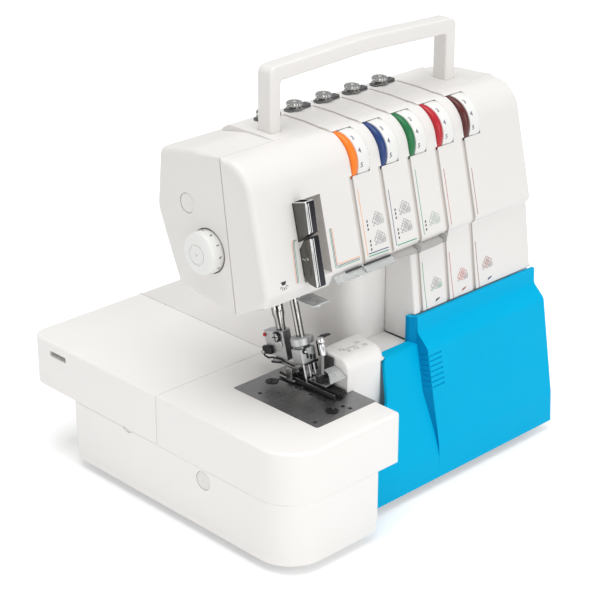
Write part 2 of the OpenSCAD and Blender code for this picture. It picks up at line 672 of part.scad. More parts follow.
module presser_bar() placed() color(steel)
  leaning() translate([0, presser_gap, 24]) cylinder(r = presser_bar_r, h = 150);

module foot_holder() placed() color("#9DA1A5")
  leaning() difference() {
    union() {
      translate([-7, presser_gap - 7, 20]) cube([14, 15, 20]);
      translate([-15, presser_gap + 4, 26]) cube([9, 9, 10]);
      translate([-5, presser_gap - 14, 11]) cube([10, 15, 9.5]);
      translate([-9, presser_gap + 8 - eps, 20]) cube([12, 10, 6]);
    }
    translate([0, presser_gap, 23.5]) cylinder(r = presser_bar_r + 0.02, h = 30);
    translate([-8, 11.77, 14.02]) rotate([0, 90, 0]) cylinder(r = 1.5 + run, h = 16);
    translate([7.5, presser_gap, 33]) rotate([0, -90, 0]) cylinder(r = 2.05, h = 4.5);
  }

module presser_foot() placed() color("#C4C7CA")
  difference() {
    union() {
      box([bar_x - 10, needle_y - 30, bed_h + 0.4], [bar_x + 12, needle_y + 26, bed_h + 3]);
      box([bar_x - 8, needle_y + 11, bed_h + 3 - eps], [bar_x - 5.4, needle_y + 19, bed_h + 14]);
      box([bar_x + 5.4, needle_y + 11, bed_h + 3 - eps], [bar_x + 8, needle_y + 19, bed_h + 14]);
      rod_x(bar_x - 9, bar_x + 9, needle_y + 15, bed_h + 10.5, 1.5);
    }
    box([bar_x - 7.6, needle_y - 6.5, bed_h - 1], [bar_x + 7.6, needle_y + 6.5, bed_h + 8]);
    box([bar_x + 3, needle_y - 31, bed_h - 1], [bar_x + 4.4, needle_y - 10, bed_h + 8]);
    box([bar_x - 4.4, needle_y - 31, bed_h - 1], [bar_x - 3, needle_y - 10, bed_h + 8]);
  }

module foot_screw() placed() color(dark)
  leaning() translate([presser_bar_r + 0.05, presser_gap, 33]) rotate([0, 90, 0]) {
    cylinder(r = 2, h = 5);
    translate([0, 0, 3.2]) cylinder(r = 4.4, h = 5);
  }

module needle_bar() placed() color(steel)
  leaning() translate([0, 0, 30]) cylinder(r = needle_bar_r, h = 140);

module needle_clamp() placed() color("#A8ACB0")
  leaning() difference() {
    union() {
      translate([-9, -6, 27]) cube([18, 12.5, 9]);
      translate([-6, -5.5, 35.9]) cube([12, 11.5, 8]);
      translate([9 - eps, -3, 29]) cube([5, 6, 4]);
    }
    translate([0, 0, 29.8]) cylinder(r = needle_bar_r + 0.02, h = 20);
    for (i = [-1 : 1])
      translate([5.6 * i, -3.4 + 0.4 * i, 26]) cylinder(r = 0.92, h = 3.7);
    for (i = [-1 : 1])
      translate([5.6 * i, -6.5, 31.5]) rotate([-90, 0, 0]) cylinder(r = 1.25, h = 2);
  }

module needles() placed() color("#D5D8DB")
  leaning() for (i = [-1 : 1])
    translate([5.6 * i, -3.4 + 0.4 * i, 0]) {
      translate([0, 0, 9]) cylinder(r = 0.9, h = 20.6);
      translate([0, 0, 4]) cylinder(r1 = 0.15, r2 = 0.9, h = 5);
    }

module clamp_screws() placed() color(dark)
  leaning() for (i = [-1 : 1])
    translate([5.6 * i, -6.5, 31.5]) rotate([-90, 0, 0]) {
      cylinder(r = 1.2, h = 1.6);
      translate([0, 0, -1.4]) cylinder(r = 1.9, h = 1.7);
    }

// ---- loopers ---------------------------------------------------------------

module lower_looper() placed() color("#AEB2B6") {
  along_y(66, 72) difference() {
    union() {
      translate([112, 46]) circle(7);
      polygon([[108, 50], [116, 50], [113, 81.5], [109, 81.5]]);
    }
    translate([112, 46]) circle(3);
  }
  along_y(67.6, 70.4) polygon([[109, 76], [113, 81.5], [104, 85], [89, 84], [103, 81]]);
}

module upper_looper() placed() color("#AEB2B6") {
  along_y(90, 96) difference() {
    union() {
      translate([76, 46]) circle(7);
      polygon([[72, 50], [80, 50], [78, 80], [74, 80]]);
    }
    translate([76, 46]) circle(3);
  }
  along_y(91.6, 94.4) polygon([[74, 74], [78, 80], [78, 82], [92, 86], [80, 79]]);
}

// ---- drive -----------------------------------------------------------------

pulley_x = body_w - 44;
module main_shaft() placed() color(steel)
  difference() {
    union() {
      rod_x(122.5, body_w + 12, wheel_y, wheel_z, shaft_r);
      rod_x(pulley_x, pulley_x + 12, wheel_y, wheel_z, 30);
    }
    for (a = [0 : 72 : 288])
      along_x(pulley_x - 1, pulley_x + 13)
        translate([wheel_y, wheel_z]) rotate(a) translate([18, 0]) circle(5, $fn = 24);
  }

module handwheel() placed() color(shell_white)
  difference() {
    union() {
      rod_x(body_w + gap, body_w + gap + wheel_w - 3, wheel_y, wheel_z, wheel_r);
      rod_x(body_w + gap + wheel_w - 3 - eps, body_w + gap + wheel_w, wheel_y, wheel_z, wheel_r - 3);
    }
    rod_x(body_w, body_w + 12.1, wheel_y, wheel_z, shaft_r + 0.02);
    for (a = [0 : 15 : 345])
      along_x(body_w, body_w + wheel_w + 2)
        translate([wheel_y, wheel_z]) rotate(a) translate([wheel_r + 1.6, 0]) circle(2.6, $fn = 20);
    along_x(body_w + wheel_w - 3, body_w + wheel_w + 2)
      translate([wheel_y, wheel_z]) difference() {
        circle(wheel_r - 8);
        circle(10);
      }
  }

module motor() placed() color("#4A4D50") {
  difference() {
    union() {
      rod_x(206, 276, motor_y, motor_z, 27);
      rod_x(276 - eps, 284, motor_y, motor_z, 12);
      box([214, motor_y - 22, pan_z], [268, motor_y + 22, motor_z - 20]);
    }
    for (a = [0 : 30 : 330])
      along_x(216, 266) translate([motor_y, motor_z]) rotate(a)
        translate([27, 0]) square([3, 5], center = true);
    rod_x(270, 290, motor_y, motor_z, 3 + run);
  }
}

module motor_pulley() placed() color(steel) {
  rod_x(272, pulley_x + 12, motor_y, motor_z, 3);
  rod_x(pulley_x, pulley_x + 12, motor_y, motor_z, 10);
}

belt_span = norm([motor_y - wheel_y, motor_z - wheel_z]);
belt_tilt = atan2(motor_z - wheel_z, motor_y - wheel_y);
function belt_loop(ra, rb) =
  let (a = acos((ra - rb) / belt_span))
  concat([for (i = [0 : 40]) let (t = a + (360 - 2 * a) * i / 40) ra * [cos(t), sin(t)]],
    [for (i = [0 : 16]) let (t = -a + 2 * a * i / 16) [belt_span, 0] + rb * [cos(t), sin(t)]]);

module drive_belt() placed() color(dark)
  along_x(pulley_x + 2, pulley_x + 10)
    translate([wheel_y, wheel_z]) rotate(belt_tilt) difference() {
      polygon(belt_loop(32.2, 12.2));
      polygon(belt_loop(30.3, 10.3));
    }

// ---- controls on the right -------------------------------------------------

module stitch_dial() placed() color("#E2E2DF")
  difference() {
    union() {
      rod_x(body_w + gap, body_w + 9, 222, 78, 15);
      rod_x(body_w - 8, body_w + gap + eps, 222, 78, 5.6);
    }
    for (a = [0 : 20 : 340])
      along_x(body_w + 3, body_w + 10)
        translate([222, 78]) rotate(a) translate([15.8, 0]) circle(1.4, $fn = 16);
  }

module feed_lever() placed() color(dark)
  difference() {
    union() {
      box([body_w - 12, 253.2, 70], [body_w + 6, 256.8, 75]);
      box([body_w + 6 - eps, 251.5, 69], [body_w + 10, 258.5, 76]);
      rod_x(body_w - 12, body_w - 8, 255, 72.5, 6);
    }
  }

module power_switch() placed() color(dark)
  along_y(266.6, 280.4)
    polygon([[body_w - 7, 27.6], [body_w - 0.4, 27.4], [body_w + 2.2, 30], [body_w + 0.2, 37],
      [body_w + 0.6, 44.6], [body_w - 0.6, 46.8], [body_w - 7, 46.4]]);

module power_inlet() placed() color(dark)
  difference() {
    union() {
      box([body_w - 24, 230.3, 24.3], [body_w, 255.7, 47.7]);
      box([body_w, 228.5, 22.5], [body_w + 1.2, 257.5, 49.5]);
    }
    along_x(body_w - 20, body_w + 2)
      outline([[234, 28, 2], [252, 28, 2], [252, 40, 5], [248, 44, 3], [238, 44, 3], [234, 40, 5]]);
    }

base_pan();
rubber_feet();
left_body();
front_table();
extension_table();
rear_housing();
looper_bay();
ruler_cover();
needle_plate();
plate_screws();
feed_dogs();
looper_cover();
hinge_pins();
front_cover();
rear_shell();
top_cover();
thread_posts();
carry_handle();
dial_shaft();
dial_1();
dial_2();
dial_3();
dial_4();
dial_5();
ring_1();
ring_2();
ring_3();
ring_4();
ring_5();
takeup_guard();
takeup_lever();
guide_plate();
clear_guide();
guide_rail();
pressure_knob();
screw_caps();
frame_casting();
presser_bar();
foot_holder();
presser_foot();
foot_screw();
needle_bar();
needle_clamp();
needles();
clamp_screws();
lower_looper();
upper_looper();
main_shaft();
handwheel();
motor();
motor_pulley();
drive_belt();
stitch_dial();
feed_lever();
power_switch();
power_inlet();
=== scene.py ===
import json
import math

import bpy
import bmesh
import numpy as np
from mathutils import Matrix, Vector

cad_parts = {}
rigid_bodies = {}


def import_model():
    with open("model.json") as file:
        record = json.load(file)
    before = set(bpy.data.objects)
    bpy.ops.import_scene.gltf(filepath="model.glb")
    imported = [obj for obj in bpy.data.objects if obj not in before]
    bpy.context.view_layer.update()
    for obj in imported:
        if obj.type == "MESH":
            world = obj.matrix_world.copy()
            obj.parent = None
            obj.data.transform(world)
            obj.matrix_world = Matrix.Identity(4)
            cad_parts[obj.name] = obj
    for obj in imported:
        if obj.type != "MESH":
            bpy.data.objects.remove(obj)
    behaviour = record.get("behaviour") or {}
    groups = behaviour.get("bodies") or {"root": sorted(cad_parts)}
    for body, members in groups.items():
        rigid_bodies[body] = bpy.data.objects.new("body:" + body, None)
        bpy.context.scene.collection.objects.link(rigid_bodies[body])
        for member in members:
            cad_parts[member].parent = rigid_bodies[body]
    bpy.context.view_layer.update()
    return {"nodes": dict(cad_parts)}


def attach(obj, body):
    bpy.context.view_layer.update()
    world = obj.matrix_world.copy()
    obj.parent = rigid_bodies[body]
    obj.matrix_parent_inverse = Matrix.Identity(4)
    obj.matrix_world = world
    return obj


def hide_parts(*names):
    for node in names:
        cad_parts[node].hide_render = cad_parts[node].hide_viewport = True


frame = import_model()

MM = 0.001
CORNER = np.array([-178.15, -156.5, 0.0])  # the bed's left front corner, in millimetres of the row frame
BED, ARM_H = 104.0, 198.0
BODY_W, BODY_D = 337, 313
FRONT_TABLE = (117, 150.4)  # width and depth of the front slab
SLAB_FOOT = 61
ARM_LEFT = 33
TOWER_LEFT = 191
CHANNELS = [134.4 + 32.2 * k for k in range(5)]
CHANNEL_CUT = (-1.9, 2.3)  # a channel's two sides, counted from its middle
CROWN_CUT = (-1.6, 1.6)
DIAL = (94, BED + 174.6)  # the dials' axis, as y and z
WINDOW_R, RING_R, NUMERAL_R = 22.4, 20, 21.88
HINGE, PIN_BORE = (34, 15), 2.05
KNOB, KNOB_R = (121.5, 225.0), 17
NEEDLE_FOOT = (98, 79)  # where the middle needle meets the bed
PRESSER_BAR = 21.35  # distance of the presser bar behind the needle bar
LEAN = math.radians(15)
FACE_SLOPE, TOWER_SLOPE = 0.2357, 0.1324


def at(points):
    """Machine millimetres, counted from the bed's left front corner, to metres of the row frame."""
    return (np.asarray(points, float) + CORNER) * MM


# ---- camera ------------------------------------------------------------------

def add_camera(place, target, lens):
    """Camera of the front left view, pointed at its target."""
    data = bpy.data.cameras.new("view")
    data.lens, data.sensor_width = lens, 36
    data.clip_start, data.clip_end = 0.05, 30
    camera = bpy.data.objects.new("view", data)
    camera.location = place
    camera.rotation_euler = (Vector(target) - Vector(place)).to_track_quat("-Z", "Y").to_euler()
    bpy.context.scene.collection.objects.link(camera)
    bpy.context.scene.camera = camera


add_camera((-0.97678, -0.98909, 0.74600), (-0.03795, -0.0169, 0.1502), 111.17)
bpy.context.scene.view_settings.view_transform = "Standard"


# ---- materials ---------------------------------------------------------------

class Recipe:
    """A material under construction: a Principled shader and the nodes that feed it."""

    def __init__(self, name, colour, roughness=0.5, metallic=0.0, **sockets):
        self.material = bpy.data.materials.new(name)
        self.material.use_nodes = True
        self.nodes, self.links = self.material.node_tree.nodes, self.material.node_tree.links
        self.shader = self.nodes["Principled BSDF"]
        self.colour = (*colour, 1)
        self.shader.inputs["Base Color"].default_value = self.colour
        self.shader.inputs["Roughness"].default_value = roughness
        self.shader.inputs["Metallic"].default_value = metallic
        for socket, value in sockets.items():
            self.shader.inputs[socket.replace("_", " ")].default_value = value
        coordinates = self.nodes.new("ShaderNodeTexCoord")
        self.position = coordinates.outputs["Object"]

    def node(self, kind, values=(), wires=(), **settings):
        """New node with its settings, its input values and the wires that lead into it."""
        made = self.nodes.new(kind)
        for key, value in settings.items():
            setattr(made, key, value)
        for key, value in dict(values).items():
            made.inputs[key].default_value = value
        for key, wire in dict(wires).items():
            self.links.new(wire, made.inputs[key])
        return made

    def noise(self, scale, detail=3, stretch=None, roughness=0.5):
        """Noise over the piece's own coordinates, in cells per metre."""
        place = self.position
        if stretch:
            place = self.node("ShaderNodeMapping", {"Scale": stretch}, {"Vector": place}).outputs[0]
        return self.node("ShaderNodeTexNoise", {"Scale": scale, "Detail": detail, "Roughness": roughness},
                         {"Vector": place}).outputs["Fac"]

    def spread(self, value, low, high, start=0.3, end=0.7):
        """Value between start and end, brought to the range from low to high."""
        return self.node("ShaderNodeMapRange",
                         {"From Min": start, "From Max": end, "To Min": low, "To Max": high},
                         {"Value": value}).outputs["Result"]

    def tint(self, value, low, high):
        """Base colour that runs from low to high with the value."""
        mix = self.node("ShaderNodeMix", data_type="RGBA")
        self.links.new(value, mix.inputs["Factor"])
        # the colour sockets of a Mix node stand after its number and vector sockets
        mix.inputs[6].default_value, mix.inputs[7].default_value = (*low, 1), (*high, 1)
        self.links.new(mix.outputs[2], self.shader.inputs["Base Color"])

    def rough(self, value, low, high):
        """Roughness that runs from low to high with the value."""
        self.links.new(self.spread(value, low, high), self.shader.inputs["Roughness"])

    def bump(self, value, depth, strength=1.0):
        """Small relief of the given depth in metres."""
        made = self.node("ShaderNodeBump", {"Strength": strength, "Distance": depth}, {"Height": value})
        self.links.new(made.outputs[0], self.shader.inputs["Normal"])


def shade(colour, factor):
    """Colour made lighter or darker by a factor."""
    return tuple(min(1, c * factor) for c in colour)


def moulded(name, colour, roughness=0.42, grain=0.00004, vary=0.02, shine=0.5):
    """Injection moulded plastic: fine spark-eroded grain, faint cloudiness and uneven gloss."""
    r = Recipe(name, colour, roughness, Specular_IOR_Level=shine)
    cloud = r.noise(14, 4)
    r.tint(cloud, shade(colour, 1 - vary), shade(colour, 1 + vary))
    r.rough(r.noise(60, 3), roughness - 0.05, roughness + 0.07)
    r.bump(r.noise(2600, 2), grain, 0.35)
    return r.material


def glossy(name, colour, roughness=0.2, vary=0.03):
    """Smooth glossy plastic with a slight orange-peel surface."""
    r = Recipe(name, colour, roughness)
    r.tint(r.noise(18, 3), shade(colour, 1 - vary), shade(colour, 1 + vary))
    r.rough(r.noise(90, 3), roughness - 0.04, roughness + 0.08)
    r.bump(r.noise(420, 2), 0.00003, 0.25)
    return r.material


def brushed(name, colour, roughness=0.3, stretch=(40, 1, 40), scale=90):
    """Metal brushed in one direction: fine streaks in colour, gloss and height."""
    r = Recipe(name, colour, roughness, 1.0)
    streaks = r.noise(scale, 4, stretch, 0.7)
    r.tint(streaks, shade(colour, 0.8), shade(colour, 1.15))
    r.rough(streaks, roughness - 0.08, roughness + 0.12)
    r.bump(streaks, 0.00002, 0.4)
    return r.material


def cast(name, colour, roughness=0.45):
    """Cast or sintered metal: pitted, a little darker in the hollows."""
    r = Recipe(name, colour, roughness, 0.9)
    pits = r.noise(900, 5)
    r.tint(pits, shade(colour, 0.75), shade(colour, 1.15))
    r.rough(r.noise(200, 3), roughness - 0.1, roughness + 0.12)
    r.bump(pits, 0.00006, 0.5)
    return r.material


def polished(name, colour, roughness=0.08):
    """Plated metal with a few soft smudges."""
    r = Recipe(name, colour, roughness, 1.0)
    smudge = r.noise(70, 4)
    r.tint(smudge, shade(colour, 0.93), colour)
    r.rough(smudge, roughness * 0.6, roughness * 1.8)
    return r.material


def chrome_with_painted_reflections(name):
    """Plated round bar with painted reflections: soft dark and bright bands round it, read from the surface's
    own direction.
    """
    r = Recipe(name, (0.6, 0.6, 0.6), 0.12, 1.0)
    facing = r.node("ShaderNodeTexCoord").outputs["Normal"]
    across = r.node("ShaderNodeVectorMath", {1: (0.719, -0.695, 0.0)}, {0: facing}, operation="DOT_PRODUCT")
    place = r.node("ShaderNodeMapRange", {"From Min": -1.0, "From Max": 1.0},
                   {"Value": across.outputs["Value"]})
    ramp = r.node("ShaderNodeValToRGB", wires={0: place.outputs["Result"]})
    stops = [(0.0, 0.3), (0.1, 0.12), (0.2, 0.45), (0.32, 0.5), (0.4, 0.05), (0.54, 0.05), (0.62, 0.85),
             (0.76, 0.9), (0.84, 0.1)]
    band = ramp.color_ramp
    for k, (spot, level) in enumerate(stops):
        stop = band.elements[k] if k < 2 else band.elements.new(spot)
        stop.position, stop.color = spot, (level, level * 0.98, level * 0.95, 1)
    r.links.new(ramp.outputs[0], r.shader.inputs["Base Color"])
    r.rough(r.noise(120, 3), 0.08, 0.2)
    return r.material


def dark_steel(name, colour=(0.03, 0.031, 0.034), roughness=0.32):
    """Blackened steel, slightly grained."""
    r = Recipe(name, colour, roughness, 0.85)
    grain = r.noise(700, 4)
    r.tint(grain, shade(colour, 0.7), shade(colour, 1.6))
    r.rough(grain, roughness - 0.08, roughness + 0.15)
    r.bump(grain, 0.00002, 0.4)
    return r.material


def rubber(name):
    """Matt black rubber with a fine grain."""
    r = Recipe(name, (0.018, 0.018, 0.019), 0.7)
    grain = r.noise(1300, 3)
    r.tint(grain, (0.012, 0.012, 0.013), (0.03, 0.03, 0.031))
    r.rough(r.noise(120, 3), 0.6, 0.85)
    r.bump(grain, 0.00006, 0.5)
    return r.material


def clear(name):
    """Clear plastic with faintly uneven gloss."""
    r = Recipe(name, (0.93, 0.96, 0.97), 0.06)
    r.shader.inputs["Transmission Weight"].default_value = 0.9
    r.shader.inputs["IOR"].default_value = 1.45
    r.rough(r.noise(80, 3), 0.03, 0.12)
    return r.material


def frosted(name):
    """Pale see-through plastic that still shows as a film."""
    r = Recipe(name, (0.78, 0.80, 0.79), 0.3)
    r.shader.inputs["Transmission Weight"].default_value = 0.55
    r.shader.inputs["IOR"].default_value = 1.4
    r.rough(r.noise(80, 3), 0.25, 0.35)
    return r.material


def ink(name, colour):
    """Pad-printed ink, slightly uneven."""
    r = Recipe(name, colour, 0.5)
    r.tint(r.noise(900, 3), shade(colour, 0.85), shade(colour, 1.15))
    r.rough(r.noise(300, 2), 0.4, 0.6)
    return r.material


white = moulded("white_plastic", (0.775, 0.757, 0.735))
# painted light: a lighter copy of the white plastic for the slabs, the lower body, the hump and the cheek
bed_white_painted_light = moulded("bed_white_painted_light", (0.87, 0.852, 0.83))
# painted shade: a darker white for the floors and walls of the channels
groove_painted_shade = moulded("painted_groove_shade", (0.66, 0.625, 0.595), 0.6)
# painted shade: a darker white for the walls of the take-up's recess
recess_painted_shade = moulded("painted_recess_shade", (0.62, 0.59, 0.56), 0.5)
knob_white = moulded("knob_white", (0.80, 0.80, 0.78), 0.35, 0.00002)
# painted shade: a darker copy of the white plastic for the base pan and the looper bay inside the body
inner_painted_shade = moulded("inner_plastic", (0.62, 0.62, 0.61), 0.55)
blue = moulded("blue_plastic", (0.0, 0.43, 0.73), 0.45, 0.00003, 0.03, 0.05)
# painted shade: a darker copy of the blue for the left-facing faces of the cover's step
blue_painted_shade = moulded("painted_blue_shade", (0.0, 0.245, 0.50), 0.5, 0.00003, 0.03, 0.05)
drum_white = glossy("drum_white", (0.80, 0.80, 0.78), 0.28, 0.015)
plate_steel = brushed("brushed_plate", (0.30, 0.30, 0.305), 0.3, (1, 30, 30), 60)
steel = brushed("turned_steel", (0.62, 0.62, 0.63), 0.22, (30, 30, 2), 120)
bar_steel = brushed("ground_steel", (0.66, 0.66, 0.67), 0.16, (6, 6, 60), 160)
grey_metal = cast("cast_grey", (0.42, 0.43, 0.44))
casting = cast("frame_casting", (0.36, 0.37, 0.38), 0.55)
chrome = polished("chrome", (0.78, 0.78, 0.79))
# painted reflection: grey and near-black copies of the chrome for its left and front faces
chrome_side_painted_reflection = brushed("chrome_painted_side_reflection", (0.15, 0.148, 0.138), 0.24, (12, 12, 1), 40)
chrome_front_painted_reflection = brushed("chrome_painted_front_reflection", (0.045, 0.045, 0.052), 0.16, (12, 12, 1), 40)
bright_metal = brushed("nickel", (0.50, 0.50, 0.49), 0.2, (4, 4, 30), 60)
# painted highlight: bright ribbons down the chrome fronts
painted_highlight = glossy("painted_highlight_edge", (0.86, 0.86, 0.86), 0.2, 0.01)
satin_metal = brushed("satin_metal", (0.52, 0.53, 0.53), 0.42, (4, 4, 30), 60)
# painted reflection: dark and bright bands round the plated bars
bar_chrome_painted_reflections = chrome_with_painted_reflections("bar_chrome_painted_reflections")
shadow_metal = brushed("shaded_nickel", (0.19, 0.19, 0.195), 0.45, (4, 4, 30), 60)
frosted_plastic = frosted("frosted_plastic")
# painted shade: grey for the shaded chin below the arm, darker where the channels pass through it
painted_chin_shade = moulded("painted_chin_shade", (0.40, 0.39, 0.375), 0.5)
painted_channel_shade = moulded("painted_channel_shade", (0.27, 0.265, 0.255), 0.5)
# blackened steel for the screws, also used as painted shade and dark painted reflections on the take-up and
# the foot plate
black_steel_and_painted_shade = dark_steel("blackened_steel_and_painted_shade")
# black plastic for the switch, inlet, lever and foot runners, also used as painted shade on the window walls,
# round the knob and under the rail
black_plastic = moulded("black_plastic", (0.02, 0.02, 0.022), 0.4, 0.00003, 0.2)
black_rubber = rubber("black_rubber")
clear_plastic = clear("clear_plastic")
motor_paint = glossy("motor_enamel", (0.05, 0.052, 0.056), 0.35, 0.1)
dial_colours = {
    "orange": (0.95, 0.20, 0.0), "dark_blue": (0.004, 0.035, 0.17), "green": (0.0, 0.15, 0.04),
    "red": (0.46, 0.003, 0.015), "maroon": (0.09, 0.009, 0.008)}
ring_finish = {k: glossy(f"{k}_plastic", c, 0.3) for k, c in dial_colours.items()}
inks = {k: ink(f"{k}_ink", c) for k, c in {
    "orange": (0.90, 0.38, 0.14), "dark_blue": (0.06, 0.10, 0.20), "green": (0.05, 0.33, 0.18),
    "red": (0.50, 0.10, 0.09), "maroon": (0.32, 0.11, 0.09)}.items()}
black_ink = ink("black_ink", (0.03, 0.03, 0.032))
grey_ink = ink("grey_ink", (0.22, 0.22, 0.22))
night_ink = ink("night_ink", (0.03, 0.035, 0.09))
leaf_ink = ink("leaf_ink", (0.36, 0.47, 0.40))
pale_ink = ink("pale_ink", (0.29, 0.29, 0.31))

FINISH = {"base_pan": inner_painted_shade, "looper_bay": inner_painted_shade, "rubber_feet": black_rubber, "drive_belt": black_rubber,
          "looper_cover": blue, "hinge_pins": steel, "needle_plate": plate_steel,
          "plate_screws": black_steel_and_painted_shade, "feed_dogs": steel, "thread_posts": steel, "dial_shaft": steel,
          "takeup_guard": chrome, "takeup_lever": chrome, "guide_plate": plate_steel,
          "clear_guide": clear_plastic, "guide_rail": plate_steel, "frame_casting": casting,
          "presser_bar": bar_steel, "foot_holder": grey_metal, "presser_foot": steel,
          "foot_screw": black_steel_and_painted_shade, "needle_bar": bar_steel, "needle_clamp": grey_metal,
          "needles": bar_steel, "clamp_screws": black_steel_and_painted_shade, "lower_looper": steel, "upper_looper": steel,
          "main_shaft": steel, "motor": motor_paint, "motor_pulley": steel, "feed_lever": black_plastic,
          "power_switch": black_plastic, "power_inlet": black_plastic, "stitch_dial": knob_white,
          "pressure_knob": knob_white, "handwheel": knob_white}
for i, key in enumerate(dial_colours):
    FINISH[f"dial_{i + 1}"] = drum_white
    FINISH[f"ring_{i + 1}"] = ring_finish[key]
for name, node in frame["nodes"].items():
    node.data.materials.clear()
    node.data.materials.append(FINISH.get(name, white))


# ---- surfaces ------------------------------------------------------------------

def round_corners(corners, steps=6):
    """Closed outline from corners [a, b, radius]: each corner is an arc that touches both sides."""
    c = np.asarray(corners, float)
    out = []
    for k in range(len(c)):
        p, before, after, r = c[k, :2], c[k - 1, :2], c[(k + 1) % len(c), :2], c[k, 2]
        u, v = (before - p) / np.linalg.norm(before - p), (after - p) / np.linalg.norm(after - p)
        half = math.acos(np.clip(u @ v, -1, 1)) / 2
        if r <= 0 or half > 1.56:
            out.append(p[None])
            continue
        middle = p + (u + v) / np.linalg.norm(u + v) * r / math.sin(half)
        s, e = p + u * r / math.tan(half) - middle, p + v * r / math.tan(half) - middle
        a0 = math.atan2(s[1], s[0])
        sweep = (math.atan2(e[1], e[0]) - a0 + math.pi) % (2 * math.pi) - math.pi
        n = max(3, int(steps * (1 + r / 12)))
        a = a0 + sweep * np.linspace(0, 1, n + 1)
        out.append(middle + r * np.stack([np.cos(a), np.sin(a)], -1))
    line = np.concatenate(out)
    x, y = line.T
    if (x * np.roll(y, -1) - np.roll(x, -1) * y).sum() < 0:
        line = line[::-1]
    return line


def inward(line):
    """Mitred inward direction at each point of an anticlockwise outline: the sum of both sides' normals,
    scaled so that a step of one along it moves each side by one."""
    d = np.roll(line, -1, 0) - line
    d /= np.maximum(np.linalg.norm(d, axis=1), 1e-9)[:, None]
    n = np.stack([-d[:, 1], d[:, 0]], -1)
    s = n + np.roll(n, 1, 0)
    return 2 * s / np.maximum((s * s).sum(1), 0.5)[:, None]


def ends(low, high, r_low=0.0, r_high=None, steps=6):
    """Stations along a bar with quarter-round edges at both ends: [place, inset]."""
    r_high = r_low if r_high is None else r_high
    a = np.linspace(0, math.pi / 2, steps + 1)
    start = [[low, 0.0]] if r_low <= 0 else [[low + r_low * (1 - math.cos(t)), r_low * (1 - math.sin(t))]
                                             for t in a]
    stop = [[high, 0.0]] if r_high <= 0 else [[high - r_high * (1 - math.cos(t)),
                                               r_high * (1 - math.sin(t))] for t in a[::-1]]
    return np.array(start + stop)


AXES = {"x": (0, 1, 2), "y": (1, 0, 2), "z": (2, 0, 1)}


def carried(outline, stations, axis, weight=1.0):
    """Outline carried along an axis, drawn in at each station: point(i, j) is the outline's point j moved
    inward by inset i times its weight, at place i. Both ends are closed. Returns points and faces."""
    stations = np.asarray(stations, float)
    w = np.broadcast_to(np.asarray(weight, float), (len(outline),))
    flat = outline[None] + inward(outline)[None] * (stations[:, 1, None, None] * w[None, :, None])
    m, n = flat.shape[:2]
    k, a, b = AXES[axis]
    points = np.zeros((m, n, 3))
    points[..., k] = stations[:, 0, None]
    points[..., a], points[..., b] = flat[..., 0], flat[..., 1]
    return points.reshape(-1, 3), ring_faces(m, n)


def ring_faces(m, n, closed=True):
    """Quads between m rings of n points, with both ends closed."""
    i, j = np.meshgrid(np.arange(m - 1), np.arange(n), indexing="ij")
    j2 = (j + 1) % n
    quads = np.stack([i * n + j, i * n + j2, (i + 1) * n + j2, (i + 1) * n + j], -1).reshape(-1, 4).tolist()
    if closed:
        quads += [list(range(n))[::-1], list(range((m - 1) * n, m * n))]
    return quads


def turned(profile, centre, axis, n=48, flutes=0, depth=0.0, where=None):
    """Profile [radius, height] turned about an axis; flutes cut the radius by depth times a rounded wave.
    where is the share of the wave at each profile point."""
    p = np.asarray(profile, float)
    a = np.linspace(0, 2 * math.pi, n, endpoint=False)
    share = np.ones(len(p)) if where is None else np.asarray(where, float)
    wave = (0.5 + 0.5 * np.cos(flutes * a)) ** 2 if flutes else np.zeros(n)
    r = p[:, 0, None] - depth * share[:, None] * wave[None]
    k, u, v = AXES[axis]
    points = np.zeros((len(p), n, 3))
    points[..., k] = p[:, 1, None]
    points[..., u], points[..., v] = r * np.cos(a), r * np.sin(a)
    return points.reshape(-1, 3) + np.asarray(centre, float), ring_faces(len(p), n)


def block(low, high, r=0.0, axis="z", corner=None):
    """Box with rounded long edges (corner) and rounded end edges (r)."""
    k, a, b = AXES[axis]
    c = r if corner is None else corner
    o = round_corners([[low[a], low[b], c], [high[a], low[b], c], [high[a], high[b], c],
                       [low[a], high[b], c]])
    return carried(o, ends(low[k], high[k], r), axis)


def rod(low, high, centre, r, axis="x", n=64, edge=0.0):
    """Round bar from low to high along the axis; centre gives the other two coordinates."""
    s = ends(low, high, edge)
    k, a, b = AXES[axis]
    c = np.zeros(3)
    c[a], c[b] = centre
    return turned(np.stack([r - s[:, 1], s[:, 0]], -1), c, axis, n)


def tube_along(path, r, n=12):
    """Round wire along a path: rings of n points at right angles to the path, carried without twist."""
    path = np.asarray(path, float)
    t = np.gradient(path, axis=0)
    t /= np.linalg.norm(t, axis=1)[:, None]
    up = np.array([0, 0, 1.0]) if abs(t[0, 2]) < 0.9 else np.array([1.0, 0, 0])
    frames = []
    side = np.cross(t[0], up)
    for d in t:
        side = side - d * (side @ d)
        side /= np.linalg.norm(side)
        frames.append((side, np.cross(d, side)))
    a = np.linspace(0, 2 * math.pi, n, endpoint=False)
    r = np.broadcast_to(np.asarray(r, float), (len(path),))
    points = np.array([p + q * (np.cos(a)[:, None] * s + np.sin(a)[:, None] * u)
                       for p, q, (s, u) in zip(path, r, frames)])
    return points.reshape(-1, 3), ring_faces(len(path), n)


def lean(shape):
    """Turns a shape drawn in the bars' own frame (Z up the bar) into its place on the machine."""
    p, faces = shape
    c, s = math.cos(LEAN), math.sin(LEAN)
    x, y = NEEDLE_FOOT
    q = np.stack([p[:, 0] + x, y + p[:, 1] * c + p[:, 2] * s, BED - p[:, 1] * s + p[:, 2] * c], -1)
    return q, faces


def together(*shapes):
    """Several shapes as one."""
    points, faces, n = [], [], 0
    for p, f in shapes:
        points.append(p)
        faces += [[k + n for k in face] for face in f]
        n += len(p)
    return np.concatenate(points), faces


